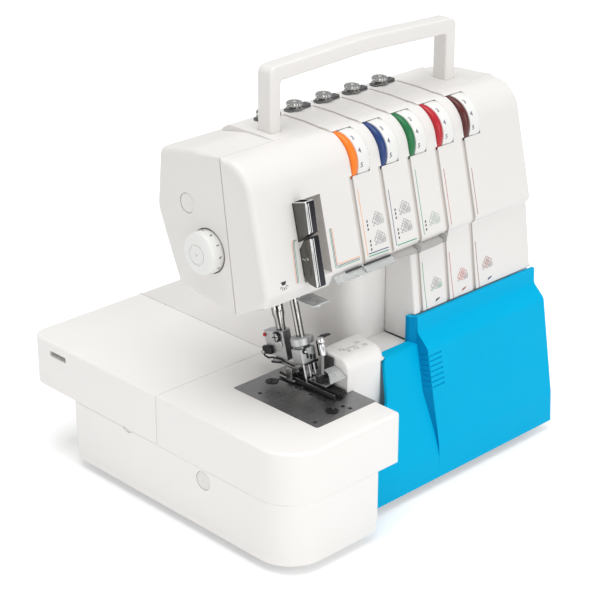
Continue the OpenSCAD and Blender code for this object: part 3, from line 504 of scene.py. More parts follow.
def mesh_of(shape, name):
    """Closed mesh of a shape, with its doubles merged and its faces turned outward."""
    mesh = bpy.data.meshes.new(name)
    mesh.from_pydata(at(shape[0]).tolist(), [], shape[1])
    b = bmesh.new()
    b.from_mesh(mesh)
    bmesh.ops.remove_doubles(b, verts=b.verts, dist=2e-6)
    bmesh.ops.recalc_face_normals(b, faces=b.faces)
    b.to_mesh(mesh)
    b.free()
    return mesh


def carve(mesh, shapes, operation="DIFFERENCE"):
    """Mesh minus (or plus) closed shapes or meshes, one Boolean modifier for each."""
    body = bpy.data.objects.new("carved", mesh)
    bpy.context.scene.collection.objects.link(body)
    for k, shape in enumerate(shapes):
        tool_mesh = mesh_of(shape, "tool") if isinstance(shape, tuple) else shape
        tool = bpy.data.objects.new("tool", tool_mesh)
        bpy.context.scene.collection.objects.link(tool)
        cut = body.modifiers.new(f"cut{k}", "BOOLEAN")
        cut.operation, cut.object, cut.solver = operation, tool, "MANIFOLD"
    bpy.context.view_layer.update()
    made = bpy.data.meshes.new_from_object(body.evaluated_get(bpy.context.evaluated_depsgraph_get()))
    for o in [o for o in bpy.context.scene.objects if o.name.startswith(("carved", "tool"))]:
        bpy.data.objects.remove(o)
    return made


def piece(name, mesh, material, body="machine", replaces=(), angle=32):
    """Puts a shape or mesh into the scene as a named piece on a body; edges past the angle are sharp."""
    if isinstance(mesh, tuple):
        mesh = mesh_of(mesh, name)
    mesh.name = name
    mesh.materials.clear()
    mesh.materials.append(material)
    o = bpy.data.objects.new(name, mesh)
    bpy.context.scene.collection.objects.link(o)
    mesh.shade_smooth()
    mesh.set_sharp_from_angle(angle=math.radians(angle))
    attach(o, body)
    if replaces:
        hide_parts(*replaces)
    return o


def ribbon(path, width, place, lift=0.14):
    """Printed line: a flat band of the given width along a path on a face, standing lift above it."""
    p = np.asarray(path, float)
    d = np.gradient(p, axis=0)
    d /= np.linalg.norm(d, axis=1)[:, None]
    n = np.stack([-d[:, 1], d[:, 0]], -1) * width / 2
    rings = [[place(*a, lift), place(*b, lift), place(*b, -0.3), place(*a, -0.3)]
             for a, b in zip(p + n, p - n)]
    return np.array(rings).reshape(-1, 3), ring_faces(len(p), 4)


def patch(outline, place, lift=0.14):
    """Printed area inside an outline on a face."""
    o = sided(np.asarray(outline, float))
    return (np.array([[place(*q, -0.3) for q in o], [place(*q, lift) for q in o]]).reshape(-1, 3),
            ring_faces(2, len(o)))


def sided(line):
    """Outline turned so that it runs anticlockwise."""
    x, y = line.T
    return line if (x * np.roll(y, -1) - np.roll(x, -1) * y).sum() > 0 else line[::-1]


def paint(o, material, test):
    """Gives a second material to the faces whose centre (machine millimetres) and normal pass the test."""
    o.data.materials.append(material)
    k = len(o.data.materials) - 1
    for f in o.data.polygons:
        if test(np.array(f.center) / MM - CORNER, f.normal):
            f.material_index = k


# ---- bed and tables --------------------------------------------------------------

def edge_weight(outline, seams, low=0.2):
    """1 on free edges, low on points that lie on a seam line (axis, place)."""
    w = np.ones(len(outline))
    for axis, value in seams:
        w[np.abs(outline[:, axis] - value) < 0.8] = low
    return w


def tables():
    """Both white slabs: a plan carried up Z and drawn in at its edges, less the hollow below, the needle
    plate's seat and the latch slot."""
    wide, deep = FRONT_TABLE
    o = round_corners([[0, 0, 33], [wide, 0, 2.5], [wide, deep, 0.6], [0, deep, 0.6]], 14)
    body = mesh_of(carried(o, ends(SLAB_FOOT, BED, 0.6, 2.4), "z", edge_weight(o, [(1, deep)])),
                   "front_slab")
    hollow = round_corners([[2.6, 2.6, 30], [114.4, 2.6, 1], [114.4, 147.8, 0.6], [2.6, 147.8, 0.6]], 10)
    cuts = [carried(hollow, [[50, 0], [99.5, 0]], "z"),
            block((52.8, 25.2, BED - 2), (120, 119.3, BED + 2), 0, "z", 3),
            block((57.8, 30.2, 95), (112.4, 114.3, BED + 2)),
            block((110, 30, 50), (120, 144.4, 98))]
    piece("front_slab", carve(body, cuts), bed_white_painted_light, replaces=["front_table"])

    start, side = 150.8, 118.4
    o = round_corners([[0, start, 0.6], [side, start, 0.6], [side, BODY_D, 1], [0, BODY_D, 14]], 12)
    w = edge_weight(o, [(1, start), (0, side)])
    body = mesh_of(carried(o, ends(SLAB_FOOT + 0.3, BED, 0.6, 2.4), "z", w), "rear_slab")
    hollow = round_corners([[2.6, 153.4, 0.6], [115.8, 153.4, 0.6], [115.8, 310.4, 0.6],
                            [2.6, 310.4, 11]], 10)
    cuts = [carried(hollow, [[50, 0], [99.5, 0]], "z"),
            block((-2, 265, BED - 12.4), (5, 286, BED - 7.4), 0, "x", 1)]
    piece("rear_slab", carve(body, cuts), bed_white_painted_light, "table", ["extension_table"])


def lower_body():
    """Body below the slabs: its plan carried up Z with a shallow waist line near the floor, less its
    hollow, the passage to the looper bay and the seats of the round caps."""
    o = round_corners([[0, 0, 33], [94.7, 0, 1.6], [94.7, 265, 0.6], [0, 265, 15]], 14)
    w = edge_weight(o, [(1, 265)], 1)
    steps = [[8, 1.2], [16.2, 1.2], [17.0, 1.0], [17.4, 0.3], [18.2, 0], [60.2, 0], [61, 0.5]]
    body = mesh_of(carried(o, steps, "z", w), "lower_body")
    hollow = round_corners([[2.7, 2.7, 30.3], [92.3, 2.7, 0.5], [92.3, 262.3, 0.5], [2.7, 262.3, 12.3]], 10)
    cuts = [carried(hollow, [[0, 0], [70, 0]], "z"), block((90, 42.6, 0), (97, 262.3, 70)),
            rod(-2, 1.4, (96, 51), 8.1), rod(-2, 1.4, (187, 66), 8.1)]
    piece("lower_body", carve(body, cuts), bed_white_painted_light, replaces=["left_body"])


def housing():
    """Machine bed: its plan carried up Z, less its hollow, the shaft and dial holes, the openings of the
    right side and the row of air slots in the back."""
    left, front = 118.8, 112
    o = round_corners([[left, front, 0.6], [BODY_W, front, 0.6], [BODY_W, BODY_D, 14],
                       [left, BODY_D, 1]], 12)
    w = edge_weight(o, [(0, left), (1, front)])
    body = mesh_of(carried(o, ends(12, BED, 0.5, 3), "z", w), "machine_bed")
    hollow = round_corners([[121.4, 114.6, 0.6], [334.4, 114.6, 0.6], [334.4, 310.4, 11],
                            [121.4, 310.4, 0.6]], 8)
    cuts = [carried(hollow, [[5, 0], [101, 0]], "z"), rod(330, 340, (150, 78), 7.5),
            rod(330, 340, (222, 78), 6), block((330, 252, 60), (340, 258, 92)),
            block((330, 266, 26), (340, 281, 48)), block((330, 230, 24), (340, 256, 48)),
            block((196, 118, 95), (317, 176, 110)), rod(110, 125, (150, 78), 7.5)]
    cuts += [block((210 + 9 * k, 305, 30), (214 + 9 * k, 320, 62), 0, "y", 1.5) for k in range(10)]
    piece("machine_bed", carve(body, cuts), white, replaces=["rear_housing"])


def hump():
    """Hump right of the needles: profiles [y, z] of lid, base, nose and deck carried along X and joined,
    less the rooms below, with a curtain behind the cover's edge."""
    lid = round_corners([[50, BED + 15.6, 0], [50, BED + 27.2, 10], [79.5, BED + 29.8, 2.5],
                         [79.5, BED + 15.4, 0]], 10)
    w = np.where(lid[:, 1] < BED + 16, 0.15, np.where(lid[:, 0] > 70, 0.3, 1.0))
    body = mesh_of(carried(lid, ends(110.4, 152.5, 2, 6, 8), "x", w), "hump")
    base = [[50.4, 74, 0], [50.4, BED + 20, 0], [79.5, BED + 20, 0], [79.5, BED - 3, 0]]
    deck = round_corners([[60.4, 74, 0], [60.4, BED + 15.5, 2.5], [86.6, BED + 15.5, 0],
                          [86.6, BED - 3, 0]], 6)
    w = np.where(deck[:, 0] > 80, 0.1, 0.8)
    nose = [[50.4, BED + 0.3, 0], [50.4, BED + 20, 0], [79.5, BED + 20, 0], [79.5, BED + 0.3, 0]]
    body = carve(body, [carried(round_corners(base), ends(117.4, 147.9, 0.6, 0.6, 3), "x", 0.3),
                        carried(round_corners(nose), ends(110.8, 121, 0.6, 0.6, 3), "x", 0.3),
                        carried(deck, ends(117.9, 190, 3, 0.5), "x", w)], "UNION")
    room = round_corners([[53, 60, 0], [53, BED + 23, 7], [76.9, BED + 25, 1], [76.9, 60, 0]], 4)
    under = round_corners([[63, 60, 0], [63, BED + 13, 1], [84, BED + 13, 1], [84, 60, 0]], 4)
    body = carve(body, [carried(room, [[121, 0], [144, 0]], "x"),
                        carried(under, [[121, 0], [187.4, 0]], "x")])
    body = carve(body, [block((146, 53, BED - 46), (156, 56, BED + 13))], "UNION")
    piece("hump", body, bed_white_painted_light, replaces=["ruler_cover"])
    # measuring marks: a base line between small hooks
    top = lambda x, y, lift: (x, y, BED + 27.2 + (y - 50) * 0.0881 + lift)
    strokes = [ribbon([[121, 65], [135, 65]], 0.35, top), ribbon([[121, 64], [121, 66]], 0.3, top)]
    hooks = [[117.4, 68.4], [120, 68], [136, 68.8], [138.4, 68.8], [122, 63], [131.6, 62.4], [138.6, 62.6],
             [141, 62.6]]
    strokes += [ribbon([[x, y], [x + 1.6, y], [x + 1.6, y - 2.2], [x, y - 2.2]], 0.35, top)
                for x, y in hooks]
    strokes += [ribbon([[x, 61], [x, 63.4]], 0.35, top) for x in (125, 130.4)]
    piece("ruler_marks", together(*strokes), grey_ink)
    # cheek that closes the right end of the looper space behind the cover
    cheek = [[29.4, 30, 0.5], [30.2, 36, 20], [43.6, 118.5, 0.5], [62, 118.5, 0], [62, 30, 0]]
    piece("bay_cheek", carried(round_corners(cheek), ends(333.6, 336.6, 0.4), "x"), bed_white_painted_light)


tables()
lower_body()
housing()
hump()


# ---- arm and tower -----------------------------------------------------------------

def up(profile):
    """Profile given as height above the bed, as a profile in machine height."""
    return [[y, z + BED, *rest] for y, z, *rest in profile]


def strip(line, a, b):
    """Closed band beside an open line, from a on its left to b."""
    p = np.asarray(line, float)
    d = np.gradient(p, axis=0)
    d /= np.linalg.norm(d, axis=1)[:, None]
    n = np.stack([-d[:, 1], d[:, 0]], -1)
    return np.concatenate([p + n * a, (p + n * b)[::-1]])


def seam_weight(line, start):
    """Low weight on the seam between the front and the rear shell, full weight elsewhere. The seam rises 121
    and goes back 15.7 from start."""
    off = (line[:, 0] - start) / 15.7 - (line[:, 1] - BED - 77) / 121
    return np.where(np.abs(off) < 0.04, 0.12, 1.0)


def channel(c, cut=CHANNEL_CUT):
    """Stations of a channel's two sides along X."""
    return [[c + side, 0] for side in cut]


def arm_front():
    """Front of arm and tower: slanted profiles [y, h] carried along X, joined and hollowed, then cut by
    the dials' windows, the channels and the take-up's recess."""
    skin = round_corners(up([[57.3, 100, 6], [80.4, 198, 28], [108, 198, 0], [92.3, 77, 0]]), 10)
    body = mesh_of(carried(skin, ends(ARM_LEFT, BODY_W, 5, 5, 8), "x", seam_weight(skin, 92.3)), "arm_front")
    chin = round_corners(up([[57.5, 101, 5.2], [80.4, 198, 28], [108, 198, 0], [92.3, 77, 0],
                             [62.5, 90.6, 0]]), 10)
    body = carve(body, [carried(chin, ends(ARM_LEFT, 101.2, 5, 0, 8), "x", seam_weight(chin, 92.3))], "UNION")
    foot = round_corners(up([[60, 103, 0], [61.6, 96.4, 2], [54.2, 40.5, 0.5], [58.4, 40.1, 0.5],
                             [58.4, 16, 0], [89.7, 16, 0], [89.7, 66, 0], [92.2, 77, 0],
                             [95, 103, 0]]), 6)
    front = (foot[:, 0] < 62) & (foot[:, 1] > BED + 41)
    body = carve(body, [carried(foot, ends(TOWER_LEFT, BODY_W, 1.5, 5, 6), "x",
                                np.where(front, 1.0, 0.08))], "UNION")
    room = round_corners(up([[60.6, 102.2, 2], [82.8, 195.4, 25], [116, 195.4, 0], [97, 77, 0]]), 6)
    low = round_corners(up([[64, 112, 0], [65, 96, 0], [61.2, 46, 0], [61.2, 12, 0], [110, 12, 0],
                            [110, 112, 0]]), 3)
    body = carve(body, [carried(room, [[37, 0], [333, 0]], "x"), carried(low, [[193.6, 0], [333, 0]], "x"),
                        block((193.6, 66, BED + 70), (333, 120, BED + 104))])
    box = np.array(up([[58.6, 101.2], [80.4, 101.2], [90.4, 164.5], [73.3, 164.5]]))
    body = carve(body, [carried(sided(box), [[69.7, 0], [102.6, 0]], "x")], "UNION")
    # windows of the dials
    cuts = [rod(c + 1.6, c + 21.4, DIAL, WINDOW_R, n=160) for c in CHANNELS]
    # channels between the threading panels
    face_band = sided(strip(up([[57.0, 97], [61.6, 118], [73.2, 167.4]]), 1, -1.8))
    top_band = sided(strip(up([[88, 196.5], [91, 197.4], [95, 198], [109.9, 198]]), 3, -1.2))
    tower_band = sided(strip(up([[54.6, 38.5], [61.3, 95.8], [58.2, 100.4], [58.9, 103]]), 1, -1.6))
    for k, c in enumerate(CHANNELS):
        cuts += [carried(face_band, channel(c), "x"), carried(top_band, channel(c, CROWN_CUT), "x")]
        if k > 1:
            cuts.append(carried(tower_band, channel(c), "x"))
    recess = sided(np.array(up([[40, 103], [78, 103], [88, 162.5], [40, 162.5]])))
    cuts.append(carried(recess, [[71.7, 0], [100.6, 0]], "x"))
    o = piece("arm_front", carve(body, cuts), white, replaces=["front_cover"],
              angle=28)
    near = lambda x: min(abs(x - c - 0.2) for c in CHANNELS) < 2.2
    # painted shade: the channels' floors and walls darker
    paint(o, groove_painted_shade, lambda c, n: near(c[0]) and c[1] < 109 and
          (abs(n[0]) > 0.9 or c[1] - 57.3 - (c[2] - BED - 100) * FACE_SLOPE > 1.2 or c[2] > BED + 195.5))
    # painted shadow: black on the windows' walls round the dials
    paint(o, black_plastic, lambda c, n: abs(math.hypot(c[1] - DIAL[0], c[2] - DIAL[1]) - WINDOW_R) < 0.06
          and c[0] > 135 and n[1] * (DIAL[0] - c[1]) + n[2] * (DIAL[1] - c[2]) > 15)
    # painted shade: the recess's walls darker
    paint(o, recess_painted_shade, lambda c, n: 71.6 < c[0] < 100.7 and 102.9 < c[2] - BED < 162.6
          and 60 + (c[2] - BED - 100) * FACE_SLOPE < c[1] < 89 and (abs(n[0]) > 0.9 or n[1] < -0.9))


def arm_rear():
    """Back of the arm, its profile [y, h] carried along X, joined to the tower, its plan carried up Z and
    cut along the seam; both are hollow and bored for the bars and the knob."""
    skin = round_corners(up([[108.3, 198, 0], [140, 197.5, 60], [177, 190, 8], [182, 141, 20],
                             [171, 114, 10], [157, 82, 8], [133, 79.5, 6], [92.6, 77, 0]]), 10)
    body = mesh_of(carried(skin, ends(ARM_LEFT, BODY_W, 5, 5, 8), "x", seam_weight(skin, 92.6)), "arm_rear")
    plan = round_corners([[150, 87, 18], [190.6, 87, 0.5], [190.6, 90.2, 0], [BODY_W, 90.2, 0],
                          [BODY_W, 182, 10], [150, 182, 18]], 10)
    ahead = sided(np.array(up([[60, 66], [90.2, 66], [92.6, 77], [108.3, 198], [60, 198]])))
    beside = sided(np.array(up([[50, 104.2], [92.6, 76.7], [108.3, 198], [50, 198]])))
    tower = carve(mesh_of(carried(plan, [[BED + 0.3, 0], [BED + 138, 0]], "z"), "tower"),
                  [carried(ahead, [[190.6, 0], [340, 0]], "x"), carried(beside, [[30, 0], [190.7, 0]], "x")])
    body = carve(body, [tower], "UNION")
    room = round_corners(up([[99, 195.4, 0], [140, 194.9, 60], [174.5, 188, 6], [179.3, 141, 18],
                             [168.6, 115, 8], [155, 84.6, 6], [133, 82.1, 5], [88, 79.7, 0]]), 6)
    shaft = round_corners([[152.6, 89.6, 15], [194, 89.6, 0], [194, 80, 0], [334.4, 80, 0],
                           [334.4, 179.4, 8], [152.6, 179.4, 15]], 6)
    cuts = [carried(room, [[37, 0], [333, 0]], "x"), carried(shaft, [[BED - 1, 0], [BED + 143, 0]], "z"),
            block((87.8, 100, BED + 186), (308.2, 166.2, BED + 203)),
            lean(rod(60, 100, (0, 0), 5.3, "z")), lean(rod(60, 100, (0, PRESSER_BAR), 6, "z")),
            rod(30, 34.2, (145.5, 256.8), 8.2), rod(30, 37, KNOB, 7), rod(30, 34.6, KNOB, 17.9)]
    o = piece("arm_rear", carve(body, cuts), white, replaces=["rear_shell"], angle=28)
    # painted shade: black ring round the knob's base where the gap in the shell lies in shade
    paint(o, black_plastic, lambda c, n: 33.05 < c[0] < 35
          and math.hypot(c[1] - KNOB[0], c[2] - KNOB[1]) < 18.2)


def crown():
    """Raised plate on top: a thin profile [y, h] carried along X, closed at both ends, with the handle's
    pockets and the channels."""
    skin = round_corners(up([[108.3, 198, 0.3], [124, 199, 20], [159, 198.8, 6], [166, 194.5, 2],
                             [166, 191.5, 0], [158, 196.2, 6], [124, 196.4, 20], [108.3, 195.4, 0]]), 8)
    lid_end = sided(np.array(up([[108.4, 197.9], [124, 198.8], [158, 198.5], [165.6, 194.3], [165.6, 191.7],
                                 [150, 190], [108.4, 193]])))
    body = mesh_of(carried(skin, [[88, 0], [308, 0]], "x"), "crown")
    body = carve(body, [carried(lid_end, [[x, 0], [x + 2.4, 0]], "x") for x in (88.05, 305.55)], "UNION")
    cuts = [block((x - 0.2, 119.3, BED + 189), (x + 11.3, 134.6, BED + 207)) for x in (95.4, 293)]
    groove = sided(np.array(up([[107, 196.9], [124, 198], [148, 197.9], [148, 207], [107, 207]])))
    cuts += [carried(groove, channel(c, CROWN_CUT), "x") for c in CHANNELS]
    o = piece("crown", carve(body, cuts), white, replaces=["top_cover"])
    # painted shade: the channels' floors and walls darker
    paint(o, groove_painted_shade, lambda c, n: min(abs(c[0] - x) for x in CHANNELS) < 1.65
          and 107 < c[1] < 148 and (abs(n[0]) > 0.9 or c[2] < BED + 198.1))


def handle():
    """Carry handle: its outline [x, h], with a slightly bowed grip, carried along Y."""
    o = round_corners(up([[95.4, 190, 0], [95.4, 250, 7], [200, 254, 400], [304.1, 250, 7],
                          [304.1, 190, 0], [293, 190, 0], [293, 238, 3], [200, 241.5, 400],
                          [106.5, 238, 3], [106.5, 190, 0]]), 8)
    piece("handle_bar", carried(o, ends(119.5, 134.4, 1.8), "y"), white,
          replaces=["carry_handle"])


arm_front()
arm_rear()
crown()
handle()


# ---- looper cover --------------------------------------------------------------------

def sheet(front, thickness):
    """Closed plate from a grid of points: its front, the same grid moved back along Y, and its rim."""
    m, n = front.shape[:2]
    k = np.arange(m * n).reshape(m, n)
    q = np.stack([k[:-1, :-1], k[:-1, 1:], k[1:, 1:], k[1:, :-1]], -1).reshape(-1, 4)
    rim = np.concatenate([k[0, :], k[1:, -1], k[-1, -2::-1], k[-2:0:-1, 0]])
    after = np.roll(rim, -1)
    faces = q.tolist() + (q[:, ::-1] + m * n).tolist()
    faces += np.stack([rim, rim + m * n, after + m * n, after], -1).tolist()
    back = front + np.array([0, thickness, 0])
    return np.concatenate([front.reshape(-1, 3), back.reshape(-1, 3)]), faces


def open_line(corners, steps=8):
    """Open profile [a, b, radius] with its inner corners rounded."""
    c = np.asarray(corners, float)
    ring = np.concatenate([c, [[c[-1, 0] + 500, c[-1, 1], 0], [c[0, 0] + 500, c[0, 1], 0]]])
    line = round_corners(ring, steps)
    line = line[line[:, 0] < 400]
    return line[np.argsort(line[:, 1], kind="stable")]


STEP_Z = [48, 83, 121]
STEP_NEAR = [192.9, 191.6, 190.4]  # x of the raised panel's edge at those heights
PANEL = open_line([[24, 8, 0], [25.4, 35, 20], [39.2, 119.5, 5], [50.4, 130, 4], [51, 143.5, 0]])
SIDE = open_line([[24, 8, 0], [25.2, 28, 20], [50, 120.2, 0]])


def depth(line, z):
    """Depth y of a cover profile at height z."""
    return np.interp(z, line[:, 1], line[:, 0])


def rows(x, y, z):
    """Grid of points from x at each place, with one depth y and one height z in each row."""
    return np.stack([x, np.broadcast_to(y[:, None], x.shape), np.broadcast_to(z[:, None], x.shape)], -1)


def looper_cover():
    """Front of the cover as y(u, z): the left panel and the raised panel keep their own profiles, and the
    step between them runs straight from one to the other."""
    z = np.concatenate([np.linspace(8, 56.8, 12), [57.2], np.linspace(58, 120.2, 22)])
    left = np.interp(z, [8, 57, 57.1, 60, 64, 66, 82, 86, 118.3, 118.5, 121],
                     [97, 97, 118, 118.6, 120.6, 122.4, 144, 146.4, 151, 152.8, 152.8])
    u = np.linspace(0, 1, 16)
    x = left[:, None] + (194 - left[:, None]) * u
    side = sheet(rows(x, depth(SIDE, z), z), 2.7)
    z = np.linspace(8, 143.5, 60)
    edge = np.interp(z, [8, *STEP_Z], [193.4, *STEP_NEAR])
    x = edge[:, None] + (BODY_W - edge[:, None]) * np.linspace(0, 1, 30)
    body = mesh_of(sheet(rows(x, depth(PANEL, z), z), 3.0), "blue_cover")
    # side of the raised panel
    z = np.linspace(44, 143.5, 40)
    near = np.interp(z, [8, *STEP_Z], [193.4, *STEP_NEAR])
    far = np.interp(z, [8, 46, 83, 121, 144], [193.4, 192.4, 187, 190.0, 190.0])
    y0 = depth(PANEL, z)
    y1 = np.maximum(np.where(z < 120.2, np.interp(z, SIDE[:, 1], SIDE[:, 0]), 53.8), y0 + 0.05)
    ring = [np.stack([near, y0, z], -1), np.stack([far, y1, z], -1), np.stack([far, y1 + 2, z], -1),
            np.stack([near + 5, y1 + 2, z], -1), np.stack([near + 5, y0 + 0.3, z], -1)]
    step = np.stack(ring, 1).reshape(-1, 3), ring_faces(len(z), 5)
    flange = round_corners([[49.6, 117, 0], [50, 120.2, 0.8], [57.6, 122.3, 0.6], [57.6, 119.5, 0],
                            [52, 117, 0]], 3)
    lip = round_corners([[186, 56, 1.5], [190.4, 51, 2], [196, 51, 0], [196, 53.8, 0], [190.5, 54.4, 0],
                         [190.4, 60, 0], [186, 60, 0.5]], 5)
    ears = []
    for x in (124.6, 310.6):
        ears += [rod(x, x + 4.5, HINGE, 4.6), block((x, 26.4, 10.4), (x + 4.5, 34, 19.6))]
    body = carve(body, [side, step, carried(flange, [[152.8, 0], [193, 0]], "x"),
                        carried(lip, [[119.6, 0], [143.5, 0]], "z"), *ears], "UNION")
    # bores of the hinge and seven grip ribs down the step
    cuts = [rod(120, 320, HINGE, PIN_BORE)]
    for k in range(7):
        zk = 86.5 + 4.4 * k
        e = np.interp(zk, STEP_Z, STEP_NEAR)
        f = np.interp(zk, [46, 83, 121], [192.4, 187, 190.0])
        ya, yb = depth(PANEL, zk), depth(SIDE, zk)
        cuts += [block((e - 0.4, ya - 2, zk - 0.7), (e + 15, ya + 0.75, zk + 0.7)),
                 tube_along([[f + 0.9, yb - 1.4, zk], [(e + f) / 2, (ya + yb) / 2, zk],
                             [e - 0.2, ya + 0.3, zk]], 0.8, 8)]
    o = piece("blue_cover", carve(body, cuts), blue, "cover", ["looper_cover"], angle=24)
    # painted shade: left-facing faces of the step darker blue
    paint(o, blue_painted_shade, lambda c, n: 184 < c[0] < 194 and n[0] < -0.45 and c[2] > 20)


looper_cover()


# ---- tension dials -------------------------------------------------------------------

def digit(text, size, place):
    """Flat numeral bent onto a surface: place(a, b, c) puts its width, height and thickness there."""
    curve = bpy.data.curves.new("digit", "FONT")
    curve.body, curve.size, curve.extrude, curve.resolution_u = text, size * MM, 0.0001, 3
    curve.align_x, curve.align_y = "CENTER", "CENTER"
    holder = bpy.data.objects.new("digit", curve)
    bpy.context.scene.collection.objects.link(holder)
    bpy.context.view_layer.update()
    flat = bpy.data.meshes.new_from_object(holder.evaluated_get(bpy.context.evaluated_depsgraph_get()))
    bpy.data.objects.remove(holder)
    points = np.array([place(*(np.array(v.co) / MM)) for v in flat.vertices])
    return points, [list(f.vertices) for f in flat.polygons]


def dials():
    """Ring and drum of each dial turned about the shaft; a numeral's angle is its turn plus its height
    over the drum's radius."""
    t = np.linspace(0, math.pi, 13)
    for k, (key, c) in enumerate(zip(dial_colours, CHANNELS)):
        body = f"tension_{k + 1}"
        centre = (0, *DIAL)
        bulge = [[RING_R + 2.2 * math.sin(a) ** 0.8, c + 4.9 - 3.0 * math.cos(a)] for a in t[1:-1]]
        ring = [[9, c + 1.9], [RING_R, c + 1.9], *bulge, [RING_R, c + 7.9], [9, c + 7.9]]
        piece(f"dial_ring_{k + 1}", turned(ring, centre, "x", 128), ring_finish[key], body,
              [f"ring_{k + 1}"])
        drum = [[4.1, c + 6], [9, c + 6], [20.4, c + 7.9], [21.5, c + 8.2], [21.8, c + 9.5], [22, c + 17],
                [22, c + 18.9], [21.6, c + 20.2], [20.7, c + 21], [4.1, c + 21]]
        piece(f"dial_drum_{k + 1}", turned(drum, centre, "x", 144), drum_white, body,
              [f"dial_{k + 1}"], angle=40)

        def on_drum(a, b, d, angle):
            r, f = NUMERAL_R + d, angle + b / 21.9
            return c + 11.2 + a, DIAL[0] - r * math.cos(f), DIAL[1] + r * math.sin(f)

        marks = []
        for n in range(10):
            turn = math.radians(58 - 30 * n)
            marks.append(digit(str((n + 3) % 10), 5.6, lambda a, b, d: on_drum(a, b, d, turn)))
        piece(f"dial_numbers_{k + 1}", together(*marks), night_ink, body)


dials()


# ---- printed marks on the threading face ----------------------------------------------

def face(x, h, lift=0.0):
    """Point on the slanted threading face, h above the bed."""
    return x, 57.3 + (h - 100) * FACE_SLOPE - 0.973 * lift, BED + h + 0.229 * lift


def tower_face(x, h, lift=0.0):
    """Point on the tower's front, h above the bed."""
    return x, 61.6 - (96.4 - h) * TOWER_SLOPE - 0.991 * lift, BED + h + 0.131 * lift


def cloth_mark(x, h, place, first, second):
    """Small picture of folded cloth: a tilted square hatched one way, stitches hanging on its right."""
    q = lambda a, b: (x + 6.4 * a, h + 1 + 5.6 * b)
    one = [ribbon([q(-1, -0.3), q(-0.2, 1), q(0.9, 0.2), q(-0.1, -0.9), q(-1, -0.3)], 0.4, place)]
    one += [ribbon([q(-0.86 + 0.2 * k, -0.38 - 0.11 * k), q(-0.06 + 0.2 * k, 0.88 - 0.14 * k)],
                   0.3, place) for k in range(1, 4)]
    one += [ribbon([q(-0.86 + 0.15 * k, -0.06 + 0.26 * k), q(0.06 + 0.17 * k, -0.74 + 0.2 * k)],
                   0.3, place) for k in range(1, 4)]
    two = [ribbon([q(0.3 + 0.2 * k, -0.95 + 0.03 * k), q(0.34 + 0.2 * k, -0.45 + 0.12 * k)], 0.45, place)
           for k in range(4)]
    two += [ribbon([q(-1, -0.75 - 0.05 * k), q(-0.6, -0.6 - 0.3 * k)], 0.35, place) for k in range(2)]
    drawn.setdefault(first, []).extend(one)
    drawn.setdefault(second, []).extend(two)


def note(x, h, place, key="black"):
    """Row of three small dabs that stands for a note."""
    drawn.setdefault(key, []).extend(patch([(x - 0.7, h + k), (x + 0.7, h + k + 0.5),
                                            (x + 0.5, h + k + 2.2), (x - 0.5, h + k + 1.8)], place)
                                     for k in (-4.5, -1.2, 1.8))


drawn = {}


def line(key, path, place=face, width=0.45):
    """Adds a printed line in one ink."""
    drawn.setdefault(key, []).append(ribbon(path, width, place))


def printing():
    """All marks of one ink are one piece: channel lines, cloth pictures, notes and the lamp sign."""
    keys = list(dial_colours)
    for k, (key, top) in enumerate(zip(keys, (156, 148, 156, 149, 142))):
        x = CHANNELS[k] + 5.3
        line(key, [(x, 104.5), (x, (104.5 + top) / 2), (x, top)])
        if k > 1:
            line(key, [(x + 1.2, 40.8), (x, 60), (x - 0.6, 80.5)], tower_face)
    for key, a in (("orange", 0), ("dark_blue", 1.2), ("green", 2.4)):
        line(key, [(63.4 + a, 104.5), (65 + a, 133), (66.4 + a, 136), (68 + a, 135.2)])
        line(key, [(106.9 - a, 135), (106.9 - a, 110), (107.2 - a, 107.4 - a), (109.8 - a, 107 - a),
                   (131, 107 - a)])
    line("dark_blue", [(141, 106), (163, 105.6)], width=0.7)
    line("green", [(141, 104), (163, 103.6)], width=0.7)
    line("green", [(173, 104.2), (195, 104)], width=0.7)
    for x, h, a, b in ((156, 129, "grey", "leaf"), (155.5, 114.5, "grey", "grey"),
                       (186.5, 130, "grey", "grey"), (185.5, 116, "grey", "grey"),
                       (217.8, 113.5, "leaf", "leaf")):
        cloth_mark(x, h, face, a, b)
    for x, h, key in ((144.3, 127.5, "black"), (144.7, 112, "black"), (175.9, 128.5, "black"),
                      (176, 113, "black"), (207.3, 111.4, "black")):
        note(x, h, face, key)
    for x, h, a, b in ((218, 58.4, "grey", "green"), (250, 56.8, "red", "grey"),
                       (281, 58.2, "maroon", "grey")):
        cloth_mark(x, h, tower_face, a, b)
    for x, h, key in ((218.3, 45.6, "black"), (250.4, 45.2, "maroon"), (282.7, 45.2, "dark_blue")):
        drawn.setdefault(key, []).append(patch([(x - 2.5, h - 1.6), (x + 2, h - 0.2), (x + 3, h + 1.2),
                                                (x, h + 0.6), (x - 1.6, h + 0.4)], tower_face))
    # small lamp with rays
    drawn.setdefault("black", []).append(patch([(48.2, 109.6), (53.6, 109.6), (52.4, 107), (49.4, 107)],
                                               face))
    for a in range(5):
        f = math.radians(-150 + 30 * a)
        line("black", [(50.9 + 2.4 * math.cos(f), 107.4 + 2.2 * math.sin(f)),
                       (50.9 + 4.6 * math.cos(f), 107.4 + 4.4 * math.sin(f))], width=0.5)
    finish = {**inks, "grey": pale_ink, "black": black_ink, "leaf": leaf_ink}
    for key, shapes in drawn.items():
        piece(f"{key}_print", together(*shapes), finish[key])


printing()


# ---- take-up, thread guides and knob ---------------------------------------------------

